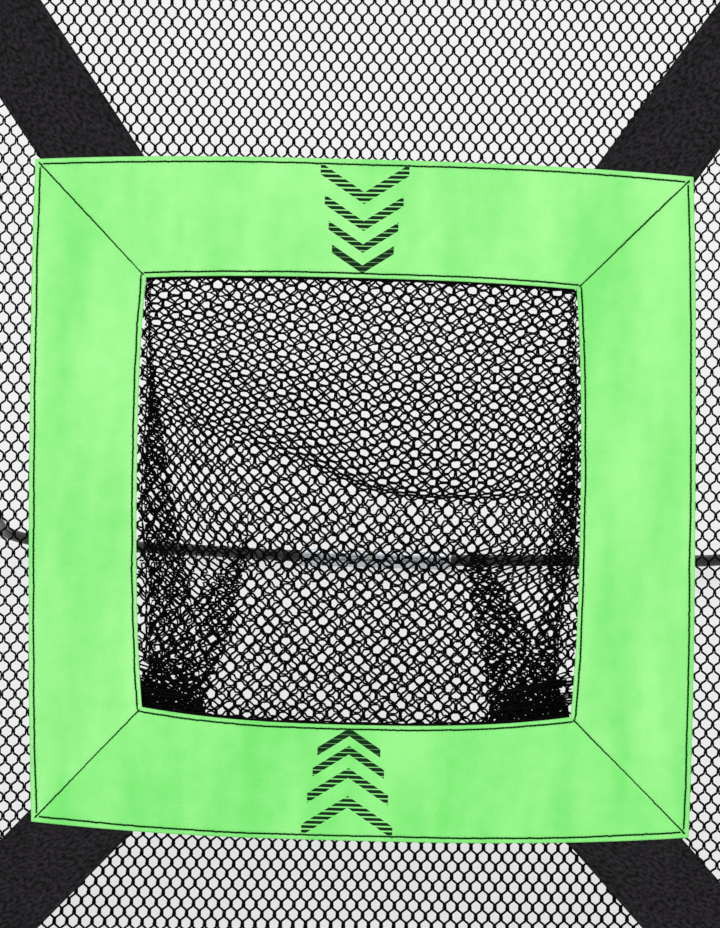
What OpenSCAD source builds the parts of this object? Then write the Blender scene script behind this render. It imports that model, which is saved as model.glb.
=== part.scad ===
// Golf chipping net on a leaning steel-tube frame with a folding rear stand.
// X runs across the net, the golfer stands at -Y and +Z is up. Millimetres.

/* [Front frame] */
// Width of the frame, tube centre to tube centre
frame_w = 620; // [580:5:680]
// Height of the frame along its lean, tube centre to tube centre
frame_h = 750; // [720:5:820]
// Outside diameter of the frame tube
tube_d = 12.7; // [11:0.1:14]
// Wall of the frame tube
tube_wall = 1; // [0.8:0.1:1.5]
// Centreline radius of the corner bends
frame_bend_r = 60; // [50:1:70]
// Backward lean of the frame from upright, in degrees
frame_lean = 33; // [28:0.5:36]
// Length of the sleeves that join the two frame halves
frame_sleeve_len = 110; // [80:5:150]
// Wall of every joining sleeve
sleeve_wall = 1.1; // [0.8:0.1:1.5]
// Gap between the two tube ends inside a sleeve
tube_end_gap = 1; // [0.5:0.5:6]

/* [Rear stand] */
// Distance from the bottom tube up to the hinge, along the frame
hinge_up = 440; // [400:5:445]
// Distance of the hinge axis behind the frame tube's centre
hinge_back = 18; // [17:0.5:20]
// Outside diameter of the stand tube
leg_d = 9.5; // [9:0.1:10]
// Wall of the stand tube
leg_wall = 0.9; // [0.7:0.1:1.2]
// Centreline radius of the stand's bends
leg_bend_r = 40; // [30:1:50]
// Length of the leg above its hinge bolt
leg_heel = 7; // [6.5:0.1:7.5]
// Distance of the crossbar's middle behind the bottom tube's centre
stand_reach = 564; // [555:1:600]
// Droop of each crossbar half towards the loose middle sleeve, in degrees
bar_droop = 1.6; // [0.5:0.05:2]
// Length of the crossbar's sleeve
bar_sleeve_len = 126; // [90:2:150]
// Height of the crossbar sleeve's underside above the ground
bar_sleeve_lift = 1.5; // [1:0.5:3]

/* [Hinge] */
// Thickness of the hinge bracket's sheet steel
bracket_t = 1.6; // [1.2:0.1:2]
// Height of the hinge bracket along the tube
bracket_h = 30; // [28:1:36]
// Diameter of the hinge bolt's shank
bolt_d = 5; // [4:0.5:5]
// Width of the hinge bolt's head and nut across the flats
bolt_af = 8; // [7:0.5:9]
// Height of the hinge bolt's head
bolt_head_h = 3.5; // [2.5:0.5:4.5]
// Height of the lock nut
nut_h = 5; // [4:0.5:6]
// Outside diameter of the nylon washers
washer_d = 10; // [9:0.5:11]
// Diameter of the stop pin that holds the stand open
stop_pin_d = 5; // [4:0.5:5]
// Distance of the stop pin down the leg from the hinge bolt
stop_pin_run = 10; // [10:0.5:11]
// Diameter of the bracket's rivets
rivet_d = 4; // [3:0.5:5]
// Spacing of the bracket's two rivets
rivet_pitch = 16; // [14:1:18]

/* [Feet] */
// Height of the bottom tube's centre above the ground
foot_lift = 12; // [11:0.5:15]
// Length of a rubber foot
foot_len = 36; // [30:1:44]
// Wall of a rubber foot round its tube
foot_wall = 4; // [3:0.5:5]
// Bare tube between a front foot and its corner bend
front_foot_gap = 27; // [24:1:60]
// Bare tube between a rear foot and its bend
rear_foot_gap = 7; // [2:1:40]

/* [Target] */
// Width of the target's square opening
opening_w = 300; // [280:5:310]
// Width of each coloured band
band_w = 80; // [70:1:85]
// Thickness of a band, two layers of cloth and their seams
band_t = 2.4; // [1.6:0.2:3]
// Distance from the bottom tube up to the middle of the target, along the frame
target_height = 360; // [350:5:370]
// Sag of the bottom band in its middle
band_sag = 8; // [0:1:12]
// Outward bow of the opening's two sides
side_bow = 6; // [0:1:10]
// Width of a corner strap
strap_w = 58; // [50:1:64]
// Thickness of a corner strap
strap_t = 1.6; // [1.2:0.1:2.4]
// Length of strap sewn under the bands
strap_lap = 15; // [10:1:25]
// Clearance of cloth tunnels round their tube
tunnel_gap = 0.4; // [0.3:0.1:0.8]

/* [Backstop net] */
// Depth of the net's slack belly behind the frame
net_belly = 78; // [72:1:84]
// Width of the belly's flat middle
net_flat_w = 380; // [340:5:400]
// Height of the belly's flat middle
net_flat_h = 450; // [420:5:470]
// Thickness of the net
net_t = 1.6; // [1:0.1:2]
// Pitch of the net's hexagonal cells
cell_pitch = 38; // [36:1:48]
// Width of the cord between two cells
cell_cord = 7; // [5:0.5:12]
// Length of the hem's flat tail
hem_tail = 20; // [14:1:24]
// Thickness of the hem's doubled cloth
hem_t = 1.6; // [1.2:0.1:2.4]
// Length of the hem's windows at the hinges and the joining sleeves
hem_window = 56; // [50:1:70]

/* [Ball pocket] */
// Depth of the pocket behind the bands
pocket_depth = 62; // [56:1:64]
// Drop of the pocket's floor below the opening
pocket_drop = 34; // [26:1:40]
// Width of the gathers at each lower corner of the pocket
pocket_gather = 34; // [20:1:45]
// Thickness of the pocket's slack mesh
pocket_wall = 2; // [1.6:0.1:3]

/* [Hidden] */

$fn = 48;
cut = 1;                // how far a cutter passes the face it cuts
seat = 0.3;             // clearance of a piece that rests beside a moving one
slip = 0.05;            // radial clearance of a pin, bolt or rivet in its hole
fold_gap = 0.6;         // gap along the fold lines of the net
foot_chamfer = 1.2;
window_margin = 2;      // how far a hem's window reaches past the tunnel
pocket_lap = 6;         // how far the pocket's rim lies behind the bands
pocket_inset = 12;      // how much narrower the pocket's back is than the opening, each side
pocket_slope_h = 55;    // drop of the back's upper edge below the opening's
gather_h = 164;         // height of the gathers, from the pocket's floor up
trough_r = 26;          // radii of the trough's back and front folds
trough_fold_r = 8;

tube_r = tube_d / 2;
leg_r = leg_d / 2;
half_w = frame_w / 2;
frame_top = frame_h - target_height;      // from the target's middle up to the top tube
frame_bottom = target_height;             // and down to the bottom tube
half_open = opening_w / 2;
half_target = half_open + band_w;
tunnel_in = tube_r + tunnel_gap;
tunnel_out = tunnel_in + hem_t;

// The stand, in the vertical plane through one leg: [y, z] from the bottom tube's centre.
hinge_yz = [hinge_up * sin(frame_lean) + hinge_back * cos(frame_lean),
            hinge_up * cos(frame_lean) - hinge_back * sin(frame_lean)];
sleeve_rise = bar_sleeve_len / 4 * tan(bar_droop);
bar_sleeve_in = leg_r + seat + sleeve_rise;
bar_sleeve_out = bar_sleeve_in + sleeve_wall;
bar_rise = half_w * tan(bar_droop);                // from the crossbar's middle to a leg
bar_mid_yz = [stand_reach, bar_sleeve_lift + bar_sleeve_out - sleeve_rise - foot_lift];
to_mid = bar_mid_yz - hinge_yz;
leg_len = sqrt(to_mid * to_mid - bar_rise * bar_rise);
leg_angle = atan2(to_mid[0], -to_mid[1]) + asin(bar_rise / norm(to_mid));  // from upright
leg_square = [cos(leg_angle), sin(leg_angle)];     // the droop's way: square to the legs
open_angle = leg_angle + frame_lean;               // between the leg and the frame
rear_foot_x = half_w - leg_bend_r - rear_foot_gap - foot_len / 2;
front_foot_x = half_w - frame_bend_r - front_foot_gap - foot_len / 2;
rear_foot_yz = bar_mid_yz + rear_foot_x * tan(bar_droop) * leg_square;
front_foot_r = tube_r + foot_wall;
rear_foot_r = leg_r + foot_wall;

// The footprint is centred on the origin.
front_y = (front_foot_r - rear_foot_yz[0] - rear_foot_r) / 2;

function lerp(a, b, t) = a + (b - a) * t;
// Points from a to b that bow by sag along dir.
function bowed(a, b, sag, dir) =
    [for (i = [0:10]) let (t = i / 10) lerp(a, b, t) + 4 * sag * t * (1 - t) * dir];

// ---- Placing ----

// Frame coordinates: x across, y behind the frame, z up the frame from the bottom tube.
module on_frame() {
    translate([0, front_y, foot_lift]) rotate([-frame_lean, 0, 0]) children();
}

// The same, with z measured from the middle of the target.
module on_target() {
    on_frame() translate([0, 0, target_height]) children();
}

// The hinge axis, with -z down the leg of the given side.
module on_leg(side) {
    translate([side * half_w, front_y + hinge_yz[0], foot_lift + hinge_yz[1]])
        rotate([leg_angle, 0, 0]) children();
}

// The hinge axis in frame coordinates.
module on_hinge(side) {
    on_frame() translate([side * half_w, hinge_back, hinge_up]) children();
}

// A flat outline in x and z, given a thickness in y from y0 back.
module upright(y0, t) {
    translate([0, y0 + t, 0]) rotate([90, 0, 0]) linear_extrude(t) children();
}

module both_sides() {
    for (side = [-1, 1]) mirror([side < 0 ? 1 : 0, 0, 0]) children();
}

// ---- Bent tube, drawn run by run: z is the way it goes, and a turn goes towards +x ----

module run(len, r) {
    cylinder(h = len, r = r);
    translate([0, 0, len]) children();
}

module turn(angle, bend_r, r) {
    translate([bend_r, 0, 0]) rotate([90, 0, 0]) rotate([0, 0, 180 - angle])
        rotate_extrude(angle = angle) translate([bend_r, 0]) circle(r);
    translate([bend_r * (1 - cos(angle)), 0, bend_r * sin(angle)])
        rotate([0, angle, 0]) children();
}

// ---- Front frame ----

// Half of the front frame, from the top middle down the side to the bottom middle.
module frame_run(r, past) {
    flat = half_w - frame_bend_r - tube_end_gap / 2;
    translate([tube_end_gap / 2 - past, 0, frame_h]) rotate([0, 90, 0])
        run(flat + past, r) turn(90, frame_bend_r, r)
        run(frame_h - 2 * frame_bend_r, r) turn(90, frame_bend_r, r)
        run(flat + past, r);
}

module rivet_holes(r, len) {
    for (s = [-1, 1]) translate([0, 0, s * rivet_pitch / 2]) rotate([0, 90, 0])
        cylinder(h = len, r = r, center = true);
}

module frame_half() {
    difference() {
        frame_run(tube_r, 0);
        frame_run(tube_r - tube_wall, cut);
        translate([half_w, 0, hinge_up]) rivet_holes(rivet_d / 2 + slip, tube_d + 2 * cut);
    }
}

module frame_tube(side) {
    color("#1d1e20") on_frame() mirror([side < 0 ? 1 : 0, 0, 0]) frame_half();
}

// A plated sleeve with a rolled ring at each end of its bore.
module sleeve(len, bore_r, wall) {
    ring_w = 4;
    ring_h = wall * 0.35;
    ring_in = len / 2 - 3 * ring_w;
    rotate([0, 90, 0]) difference() {
        union() {
            cylinder(h = len - 2 * wall, r = bore_r + wall, center = true);
            cylinder(h = len, r = bore_r + wall / 2, center = true);
            for (s = [-1, 1]) translate([0, 0, s * ring_in])
                cylinder(h = ring_w, r = bore_r + wall + ring_h, center = true);
        }
        cylinder(h = len + 2 * cut, r = bore_r, center = true);
    }
}

module frame_sleeve(up) {
    color("#c9ccd0") on_frame() translate([0, 0, up])
        sleeve(frame_sleeve_len, tube_r + seat / 2, sleeve_wall);
}

// A rubber foot round a tube: a ring whose underside widens to a flat sole at the ground.
// Its bore is tilted from x by the angle tilt, in the plane that stands at the angle plane.
module foot(bore_r, wall, lift, plane, tilt) {
    sole_w = 2 * (bore_r + wall);
    sole_len = foot_len - 2 * foot_chamfer;
    difference() {
        union() {
            rotate([plane, 0, 0]) rotate([0, 90, tilt]) {
                cylinder(h = foot_len - 2 * foot_chamfer, r = bore_r + wall, center = true);
                cylinder(h = foot_len, r = bore_r + wall - foot_chamfer, center = true);
            }
            translate([-sole_len / 2, -sole_w / 2, -lift]) cube([sole_len, sole_w, lift]);
        }
        rotate([plane, 0, 0]) rotate([0, 90, tilt])
            cylinder(h = 2 * foot_len, r = bore_r, center = true);
        // shallow tread grooves
        for (s = [-1, 0, 1]) translate([s * foot_len / 4 - 1, -sole_w, -lift - cut])
            cube([2, 2 * sole_w, cut + 1]);
        translate([-foot_len, -sole_w, -lift - 2 * wall]) cube([2 * foot_len, 2 * sole_w, 2 * wall]);
    }
}
module front_foot(side) {
    color("#2a2a2b") translate([side * front_foot_x, front_y, foot_lift])
        foot(tube_r + slip, foot_wall, foot_lift, 0, 0);
}

// ---- Rear stand ----

// One half of the stand: the leg, the bend and half of the crossbar.
module leg_run(r, past, side) {
    bar_len = half_w / cos(bar_droop) - leg_bend_r - tube_end_gap / 2;
    rotate([0, 0, side * bar_droop]) mirror([side > 0 ? 1 : 0, 0, 0])
        translate([0, 0, leg_heel + past]) rotate([180, 0, 0])
        run(leg_heel + past + leg_len - leg_bend_r, r) turn(90, leg_bend_r, r)
        run(bar_len + past, r);
}

module leg_tube(side) {
    color("#1d1e20") on_leg(side) difference() {
        leg_run(leg_r, 0, side);
        leg_run(leg_r - leg_wall, cut, side);
        rotate([0, 90, 0]) cylinder(h = leg_d + 2 * cut, r = bolt_d / 2 + slip, center = true);
    }
}

// A domed plastic plug in the top end of each leg.
module leg_plugs() {
    plug_in = leg_heel - bolt_d / 2 - 1;
    rim_h = 1;
    color("#2a2a2b") for (side = [-1, 1]) on_leg(side) translate([0, 0, leg_heel]) {
        translate([0, 0, -plug_in]) cylinder(h = plug_in, r = leg_r - leg_wall - slip);
        cylinder(h = rim_h, r = leg_r);
        intersection() {
            translate([0, 0, rim_h - 3 * leg_r]) sphere(sqrt(10) * leg_r);
            translate([0, 0, rim_h]) cylinder(h = leg_r, r = leg_r);
        }
    }
}

module bar_sleeve() {
    middle = bar_mid_yz + sleeve_rise * leg_square;
    color("#c9ccd0") translate([0, front_y + middle[0], foot_lift + middle[1]])
        sleeve(bar_sleeve_len, bar_sleeve_in, sleeve_wall);
}

module rear_foot(side) {
    lift = foot_lift + rear_foot_yz[1];
    color("#2a2a2b") translate([side * rear_foot_x, front_y + rear_foot_yz[0], lift])
        foot(leg_r + slip, foot_wall, lift, leg_angle, side * bar_droop);
}

// ---- Hinge ----

cheek_in = tube_r + slip;             // half of the space between the bracket's cheeks
cheek_out = cheek_in + bracket_t;
stop_r = stop_pin_d / 2;
// The stop pin lies on the upper side of the open leg: [behind, up] from the hinge bolt.
stop_at = stop_pin_run * [sin(open_angle), -cos(open_angle)]
          + (leg_r + seat + stop_r) * [cos(open_angle), sin(open_angle)];
cheek_rim = 3.2;                      // steel left round the bolt and the stop pin

function arc(centre, r, from, to) =
    [for (i = [0:6]) let (a = lerp(from, to, i / 6)) centre + r * [cos(a), sin(a)]];

// The bracket's cheek, seen from the side, from the hinge axis: x behind and y up.
module cheek_outline() {
    front = -hinge_back - 2 * cheek_out;
    shoulder = -hinge_back + tube_r;
    polygon(concat([[front, -bracket_h / 2], [shoulder, -bracket_h / 2]],
                   arc([0, 0], bolt_d / 2 + cheek_rim + 2, -110, -60),
                   arc(stop_at, stop_r + cheek_rim, -45, 95),
                   [[shoulder, bracket_h / 2], [front, bracket_h / 2]]));
}

// The bracket seen from above: half a circle round the tube, and straight on behind it.
module saddle_outline(r) {
    polygon(concat([[r, 4 * hinge_back], [-r, 4 * hinge_back]],
                   [for (i = [0:24]) r * [-cos(180 * i / 24), -sin(180 * i / 24)]]));
}

// A sheet-steel saddle wrapped round the front of the tube, with a cheek on each side.
module hinge_bracket(side) {
    color("#1d1e20") on_hinge(side) difference() {
        intersection() {
            rotate([0, 0, 90]) rotate([90, 0, 0]) translate([0, 0, -cheek_out])
                linear_extrude(2 * cheek_out) cheek_outline();
            translate([0, -hinge_back, -bracket_h]) linear_extrude(2 * bracket_h)
                saddle_outline(cheek_out);
        }
        translate([0, -hinge_back, -bracket_h - cut]) linear_extrude(2 * (bracket_h + cut))
            saddle_outline(cheek_in);
        rotate([0, 90, 0]) cylinder(h = 3 * cheek_out, r = bolt_d / 2 + slip, center = true);
        translate([0, stop_at[0], stop_at[1]]) rotate([0, 90, 0])
            cylinder(h = 3 * cheek_out, r = stop_r + slip, center = true);
        translate([0, -hinge_back, 0]) rivet_holes(rivet_d / 2 + slip, 3 * cheek_out);
    }
}

// A pin across the cheeks with a low domed head on each end.
module headed_pin(r, head_r, head_h) {
    rotate([0, 90, 0]) {
        cylinder(h = 2 * cheek_out, r = r, center = true);
        both_heads() intersection() {
            translate([0, 0, cheek_out - head_r * head_r / (2 * head_h) + head_h / 2])
                sphere(head_r * head_r / (2 * head_h) + head_h / 2);
            translate([0, 0, cheek_out]) cylinder(h = 2 * head_h, r = head_r);
        }
    }
}

module both_heads() {
    for (s = [0, 1]) mirror([0, 0, s]) children();
}

module bracket_rivets() {
    color("#9a9da1") for (side = [-1, 1], s = [-1, 1]) on_hinge(side)
        translate([0, -hinge_back, s * rivet_pitch / 2])
        headed_pin(rivet_d / 2, rivet_d * 0.9, rivet_d * 0.4);
}

module stop_pins() {
    color("#9a9da1") for (side = [-1, 1]) on_hinge(side)
        translate([0, stop_at[0], stop_at[1]])
        headed_pin(stop_r, stop_r + 1.6, 1.6);
}

// Hinge bolts: a domed hexagon head outside, the shank through cheeks, washers and leg.
module hinge_bolts() {
    end = cheek_out + nut_h + 1;
    color("#9a9da1") for (side = [-1, 1]) on_hinge(side) rotate([0, side * 90, 0]) {
        translate([0, 0, -end]) cylinder(h = end + cheek_out, r = bolt_d / 2);
        translate([0, 0, cheek_out]) intersection() {
            cylinder(h = bolt_head_h, d = bolt_af / cos(30), $fn = 6);
            translate([0, 0, bolt_head_h - 1.4 * bolt_af]) sphere(1.4 * bolt_af);
        }
    }
}

module hinge_nuts() {
    collar_h = nut_h * 0.3;
    color("#9a9da1") for (side = [-1, 1]) on_hinge(side) rotate([0, side * 90, 0])
        translate([0, 0, -cheek_out - nut_h]) difference() {
            union() {
                translate([0, 0, collar_h])
                    cylinder(h = nut_h - collar_h, d = bolt_af / cos(30), $fn = 6);
                cylinder(h = nut_h, d = bolt_af - 0.4);
            }
            translate([0, 0, -cut]) cylinder(h = nut_h + 2 * cut, r = bolt_d / 2 + slip);
        }
}

module hinge_washers() {
    washer_t = cheek_in - leg_r - seat;
    color("#e8e6df") for (side = [-1, 1], s = [-1, 1]) on_hinge(side)
        rotate([0, s * 90, 0]) translate([0, 0, leg_r + seat]) difference() {
            cylinder(h = washer_t, d = washer_d);
            translate([0, 0, -cut]) cylinder(h = washer_t + 2 * cut, r = bolt_d / 2 + slip);
        }
}

// ---- Target ----

in_tr = [half_open, half_open];
in_br = [half_open, -half_open];
out_tr = [half_target, half_target];
out_br = [half_target, -half_target];
down = [0, -1];

function flip_x(p) = [-p[0], p[1]];

module band_cloth() {
    color("#7ef77c") on_target() upright(-band_t / 2, band_t) children();
}

module target_band_top() {
    band_cloth() polygon([flip_x(out_tr), out_tr, in_tr, flip_x(in_tr)]);
}

module target_band_bottom() {
    band_cloth() polygon(concat(bowed(flip_x(in_br), in_br, band_sag, down),
                                bowed(out_br, flip_x(out_br), band_sag, down)));
}

module side_band(side) {
    band_cloth() mirror([side < 0 ? 1 : 0, 0])
        polygon(concat([out_br, out_tr], bowed(in_tr, in_br, side_bow, [1, 0])));
}

// Where a strap meets the middle of its corner bend, for the top (1) or bottom (-1) corner.
function bend_centre(end) = [half_w - frame_bend_r,
    end > 0 ? frame_top - frame_bend_r : -(frame_bottom - frame_bend_r)];
function bend_mid(end) = bend_centre(end) + frame_bend_r * sqrt(0.5) * [1, end];
function strap_reach(end) = bend_mid(end) - half_target * [1, end];
// The strap's outer edge passes the target's corner, and its middle meets the bend's middle.
function strap_angle(end) = atan2(end * strap_reach(end)[1], strap_reach(end)[0])
    - asin(strap_w / 2 / norm(strap_reach(end)));

module frame_outline() {
    translate([0, frame_middle]) {
        square([frame_w - 2 * frame_bend_r, frame_h], center = true);
        square([frame_w, frame_h - 2 * frame_bend_r], center = true);
        for (sx = [-1, 1], sy = [-1, 1])
            translate([sx * (half_w - frame_bend_r), sy * (frame_h / 2 - frame_bend_r)])
                circle(frame_bend_r);
    }
}

module strap_outline(end) {
    under = 2 * (half_target - strap_lap);
    difference() {
        intersection() {
            translate(bend_mid(end)) rotate(end * strap_angle(end))
                translate([-frame_w, -strap_w / 2]) square([frame_w + strap_w, strap_w]);
            frame_outline();
            translate([0, end > 0 ? 0 : -frame_h]) square([frame_w, frame_h]);
        }
        square(under, center = true);
    }
}

// The tunnel round the corner bend is as wide as the strap.
module strap_tunnel(end, r, extra) {
    span = 2 * asin(strap_w / 2 / frame_bend_r) + extra;
    translate([bend_centre(end)[0], 0, bend_centre(end)[1]]) rotate([90, 0, 0])
        rotate([0, 0, end * 45 - span / 2])
        rotate_extrude(angle = span) translate([frame_bend_r, 0]) circle(r);
}

module corner_strap(side, end) {
    color("#232225") on_target() mirror([side < 0 ? 1 : 0, 0, 0]) difference() {
        union() {
            upright(band_t / 2, strap_t) strap_outline(end);
            strap_tunnel(end, tunnel_in + strap_t, 0);
        }
        strap_tunnel(end, tunnel_in, 30);
    }
}

// ---- Backstop net ----

// Each slope runs from a tube's centre line to an edge of the belly's flat middle.
slope_top = [frame_top - net_flat_h / 2, net_belly];
slope_bottom = [frame_bottom - net_flat_h / 2, net_belly];
slope_side = [half_w - net_flat_w / 2, net_belly];
frame_middle = (frame_top - frame_bottom) / 2;
hem_end = frame_bend_r + 6;                        // from the frame's corner to a hem's end
hem_half_w = half_w - hem_end;
sleeve_window = frame_sleeve_len + 8;
function slope_angle(s) = atan2(s[1], s[0]);

cell_h = cell_pitch * sqrt(3) / 2;
cell_r = (cell_pitch - cell_cord) / sqrt(3);

// A trapezoid from half width w0 at y = y0 to half width w1 at y = y1, centred on c0 and
// c1, with the whole hexagonal cells of a staggered grid that its rim leaves room for.
module net_trapezoid(w0, w1, c0, c1, y0, y1) {
    cell_w = cell_pitch - cell_cord;
    rows = floor((y1 - y0 - 2 * (cell_cord + cell_r)) / cell_h);
    columns = ceil(max(w0, w1) / cell_pitch) + 1;
    start = (y0 + y1 - rows * cell_h) / 2;
    difference() {
        polygon([[c0 - w0, y0], [c0 + w0, y0], [c1 + w1, y1], [c1 - w1, y1]]);
        for (j = [0:rows]) {
            y = start + j * cell_h;
            t = (y + cell_r / 2 - y0) / (y1 - y0);
            room = lerp(w0, w1, t) - cell_cord - cell_w / 2;
            for (i = [-columns:columns]) {
                x = (i + (j % 2) / 2) * cell_pitch;
                if (abs(x - lerp(c0, c1, t)) <= room)
                    translate([x, y]) rotate(90) circle(cell_r, $fn = 6);
            }
        }
    }
}

// A sloping panel of net, lying in x and y, with y = 0 on the tube's centre line. It runs
// from the hem's tail to the edge of the flat middle, and narrows on the way.
module net_slope(slope, half_outer, half_inner, shift_inner) {
    len = norm(slope);
    y0 = tunnel_out + hem_tail + seat;
    y1 = len - fold_gap;
    w0 = lerp(half_outer, half_inner, y0 / len) - fold_gap;
    w1 = lerp(half_outer, half_inner, y1 / len) - fold_gap;
    translate([0, 0, -net_t / 2]) linear_extrude(net_t)
        net_trapezoid(w0, w1, shift_inner * y0 / len, shift_inner * y1 / len, y0, y1);
}

module net_cloth() {
    color("#1a1a1b") on_target() children();
}

module net_middle() {
    half_flat_w = net_flat_w / 2 - fold_gap;
    half_flat_h = net_flat_h / 2 - fold_gap;
    net_cloth() upright(net_belly - net_t / 2, net_t)
        net_trapezoid(half_flat_w, half_flat_w, 0, 0, -half_flat_h, half_flat_h);
}

module net_slope_top() {
    net_cloth() translate([0, 0, frame_top]) rotate([slope_angle(slope_top) - 90, 0, 0])
        net_slope(slope_top, half_w, net_flat_w / 2, 0);
}

module net_slope_bottom() {
    net_cloth() translate([0, 0, -frame_bottom])
        rotate([90 - slope_angle(slope_bottom), 0, 0])
        net_slope(slope_bottom, half_w, net_flat_w / 2, 0);
}

module net_slope_side(side) {
    net_cloth() mirror([side < 0 ? 1 : 0, 0, 0]) translate([half_w, 0, frame_middle])
        rotate([0, 0, 90 - slope_angle(slope_side)]) rotate([0, -90, 0])
        net_slope(slope_side, frame_h / 2, net_flat_h / 2, -frame_middle);
}

// A hem stands along z: a tunnel round its tube, and a doubled tail that leads in towards
// +x and back along the slope of its net. Each window, [middle, length], bares the tube.
module hem(from, to, slope, windows) {
    difference() {
        translate([0, 0, from]) linear_extrude(to - from) difference() {
            union() {
                circle(tunnel_out);
                rotate(slope_angle(slope)) translate([0, -hem_t])
                    square([tunnel_out + hem_tail, 2 * hem_t]);
            }
            circle(tunnel_in);
        }
        for (window = windows) translate([-2 * tunnel_out, -2 * tunnel_out, window[0] - window[1] / 2])
            cube([3 * tunnel_out + window_margin, 4 * tunnel_out, window[1]]);
    }
}

module net_hem_top() {
    net_cloth() translate([0, 0, frame_top]) rotate([0, 90, 0])
        hem(-hem_half_w, hem_half_w, slope_top, [[0, sleeve_window]]);
}

module net_hem_bottom() {
    net_cloth() translate([0, 0, -frame_bottom]) rotate([0, -90, 0])
        hem(-hem_half_w, hem_half_w, slope_bottom,
            [for (s = [-1, 0, 1]) [s * front_foot_x, s == 0 ? sleeve_window : hem_window]]);
}

module net_hem_side(side) {
    net_cloth() mirror([side > 0 ? 1 : 0, 0, 0]) translate([-half_w, 0, 0])
        hem(hem_end - frame_bottom, frame_top - hem_end, slope_side,
            [[hinge_up - target_height, hem_window]]);
}

// ---- Ball pocket ----

pocket_front = band_t / 2 + seat;
pocket_rim_w = half_open + side_bow + pocket_lap;    // half widths at the rim and the back
pocket_back_w = half_open - pocket_inset;
pocket_top = half_open + pocket_lap;
pocket_floor = -half_open - pocket_drop;
pocket_side_angle = atan2(pocket_rim_w - pocket_back_w, pocket_depth - pocket_front);
pocket_top_angle = atan2(pocket_top - (half_open - pocket_slope_h), pocket_depth - pocket_front);

// The pocket seen from the side, [behind, up], drawn in by w all round.
function pocket_profile(w) =
    let (front = pocket_front + w, back = pocket_depth - w,
         top = pocket_top - w / cos(pocket_top_angle))
    concat([[front, top - w * tan(pocket_top_angle)],
            [back, top - (back - pocket_front) * tan(pocket_top_angle)]],
           arc([pocket_depth - trough_r, pocket_floor + trough_r], trough_r - w, 0, -90),
           arc([pocket_front + trough_fold_r, pocket_floor + trough_fold_r],
               trough_fold_r - w, -90, -180));

// The pocket seen from above, [across, behind], drawn in by w at its sides.
function pocket_plan(w) =
    let (rim = pocket_rim_w - w / cos(pocket_side_angle),
         back = pocket_back_w - w / cos(pocket_side_angle))
    [[-rim, pocket_front], [rim, pocket_front], [back, pocket_depth], [-back, pocket_depth]];

// What the gathers take off a lower corner: the wall leads from the rim's corner to the
// back, where it has come in by the width of the gathers at the floor.
module pocket_corner_cut(w) {
    lean = atan2(pocket_gather, gather_h);
    corner = [pocket_rim_w, -half_open - pocket_lap];
    to_back = [pocket_back_w, pocket_floor + gather_h] - corner;
    in = -(to_back[0] * cos(lean) - to_back[1] * sin(lean));
    depth = pocket_depth - pocket_front;
    shift = w * norm([in, depth]) / depth;
    translate([corner[0], 0, corner[1]]) rotate([0, lean, 0])
        translate([-shift, 0, -2 * half_open]) linear_extrude(4 * half_open)
        polygon([[depth, pocket_front - cut], [in * cut / depth, pocket_front - cut],
                 [-in * (depth + cut) / depth, pocket_depth + cut],
                 [depth, pocket_depth + cut]]);
}

module pocket_form(w) {
    difference() {
        intersection() {
            rotate([90, 0, 90]) translate([0, 0, -half_target]) linear_extrude(2 * half_target)
                polygon(pocket_profile(w));
            translate([0, 0, -half_target]) linear_extrude(2 * half_target)
                polygon(pocket_plan(w));
        }
        both_sides() pocket_corner_cut(w);
    }
}

module ball_pocket() {
    net_cloth() difference() {
        pocket_form(0);
        pocket_form(pocket_wall);
        upright(0, pocket_front + pocket_wall + cut)
            polygon(concat(bowed(flip_x(in_tr), flip_x(in_br), side_bow, [-1, 0]),
                           bowed(flip_x(in_br), in_br, band_sag, down),
                           bowed(in_br, in_tr, side_bow, [1, 0])));
    }
}

frame_tube(-1);  // frame_tube_left
frame_tube(1);  // frame_tube_right
frame_sleeve(frame_h);  // top_sleeve
frame_sleeve(0);  // bottom_sleeve
front_foot(-1);  // front_foot_left
front_foot(1);  // front_foot_right
hinge_bracket(-1);  // hinge_bracket_left
hinge_bracket(1);  // hinge_bracket_right
bracket_rivets();
hinge_bolts();
hinge_nuts();
hinge_washers();
stop_pins();
leg_tube(-1);  // leg_tube_left
leg_tube(1);  // leg_tube_right
leg_plugs();
bar_sleeve();
rear_foot(-1);  // rear_foot_left
rear_foot(1);  // rear_foot_right
target_band_top();
target_band_bottom();
side_band(-1);  // target_band_left
side_band(1);  // target_band_right
corner_strap(-1, 1);  // corner_strap_top_left
corner_strap(1, 1);  // corner_strap_top_right
corner_strap(-1, -1);  // corner_strap_bottom_left
corner_strap(1, -1);  // corner_strap_bottom_right
net_hem_top();
net_hem_bottom();
net_hem_side(-1);  // net_hem_left
net_hem_side(1);  // net_hem_right
net_middle();
net_slope_top();
net_slope_bottom();
net_slope_side(-1);  // net_slope_left
net_slope_side(1);  // net_slope_right
ball_pocket();
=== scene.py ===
"""Golf chipping net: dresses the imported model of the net, its target, pocket, frame and stand."""
import math
from functools import reduce

import bpy
import numpy as np
from bpy.props import FloatProperty, FloatVectorProperty, IntProperty, PointerProperty
from mathutils import Matrix, Vector


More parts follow.
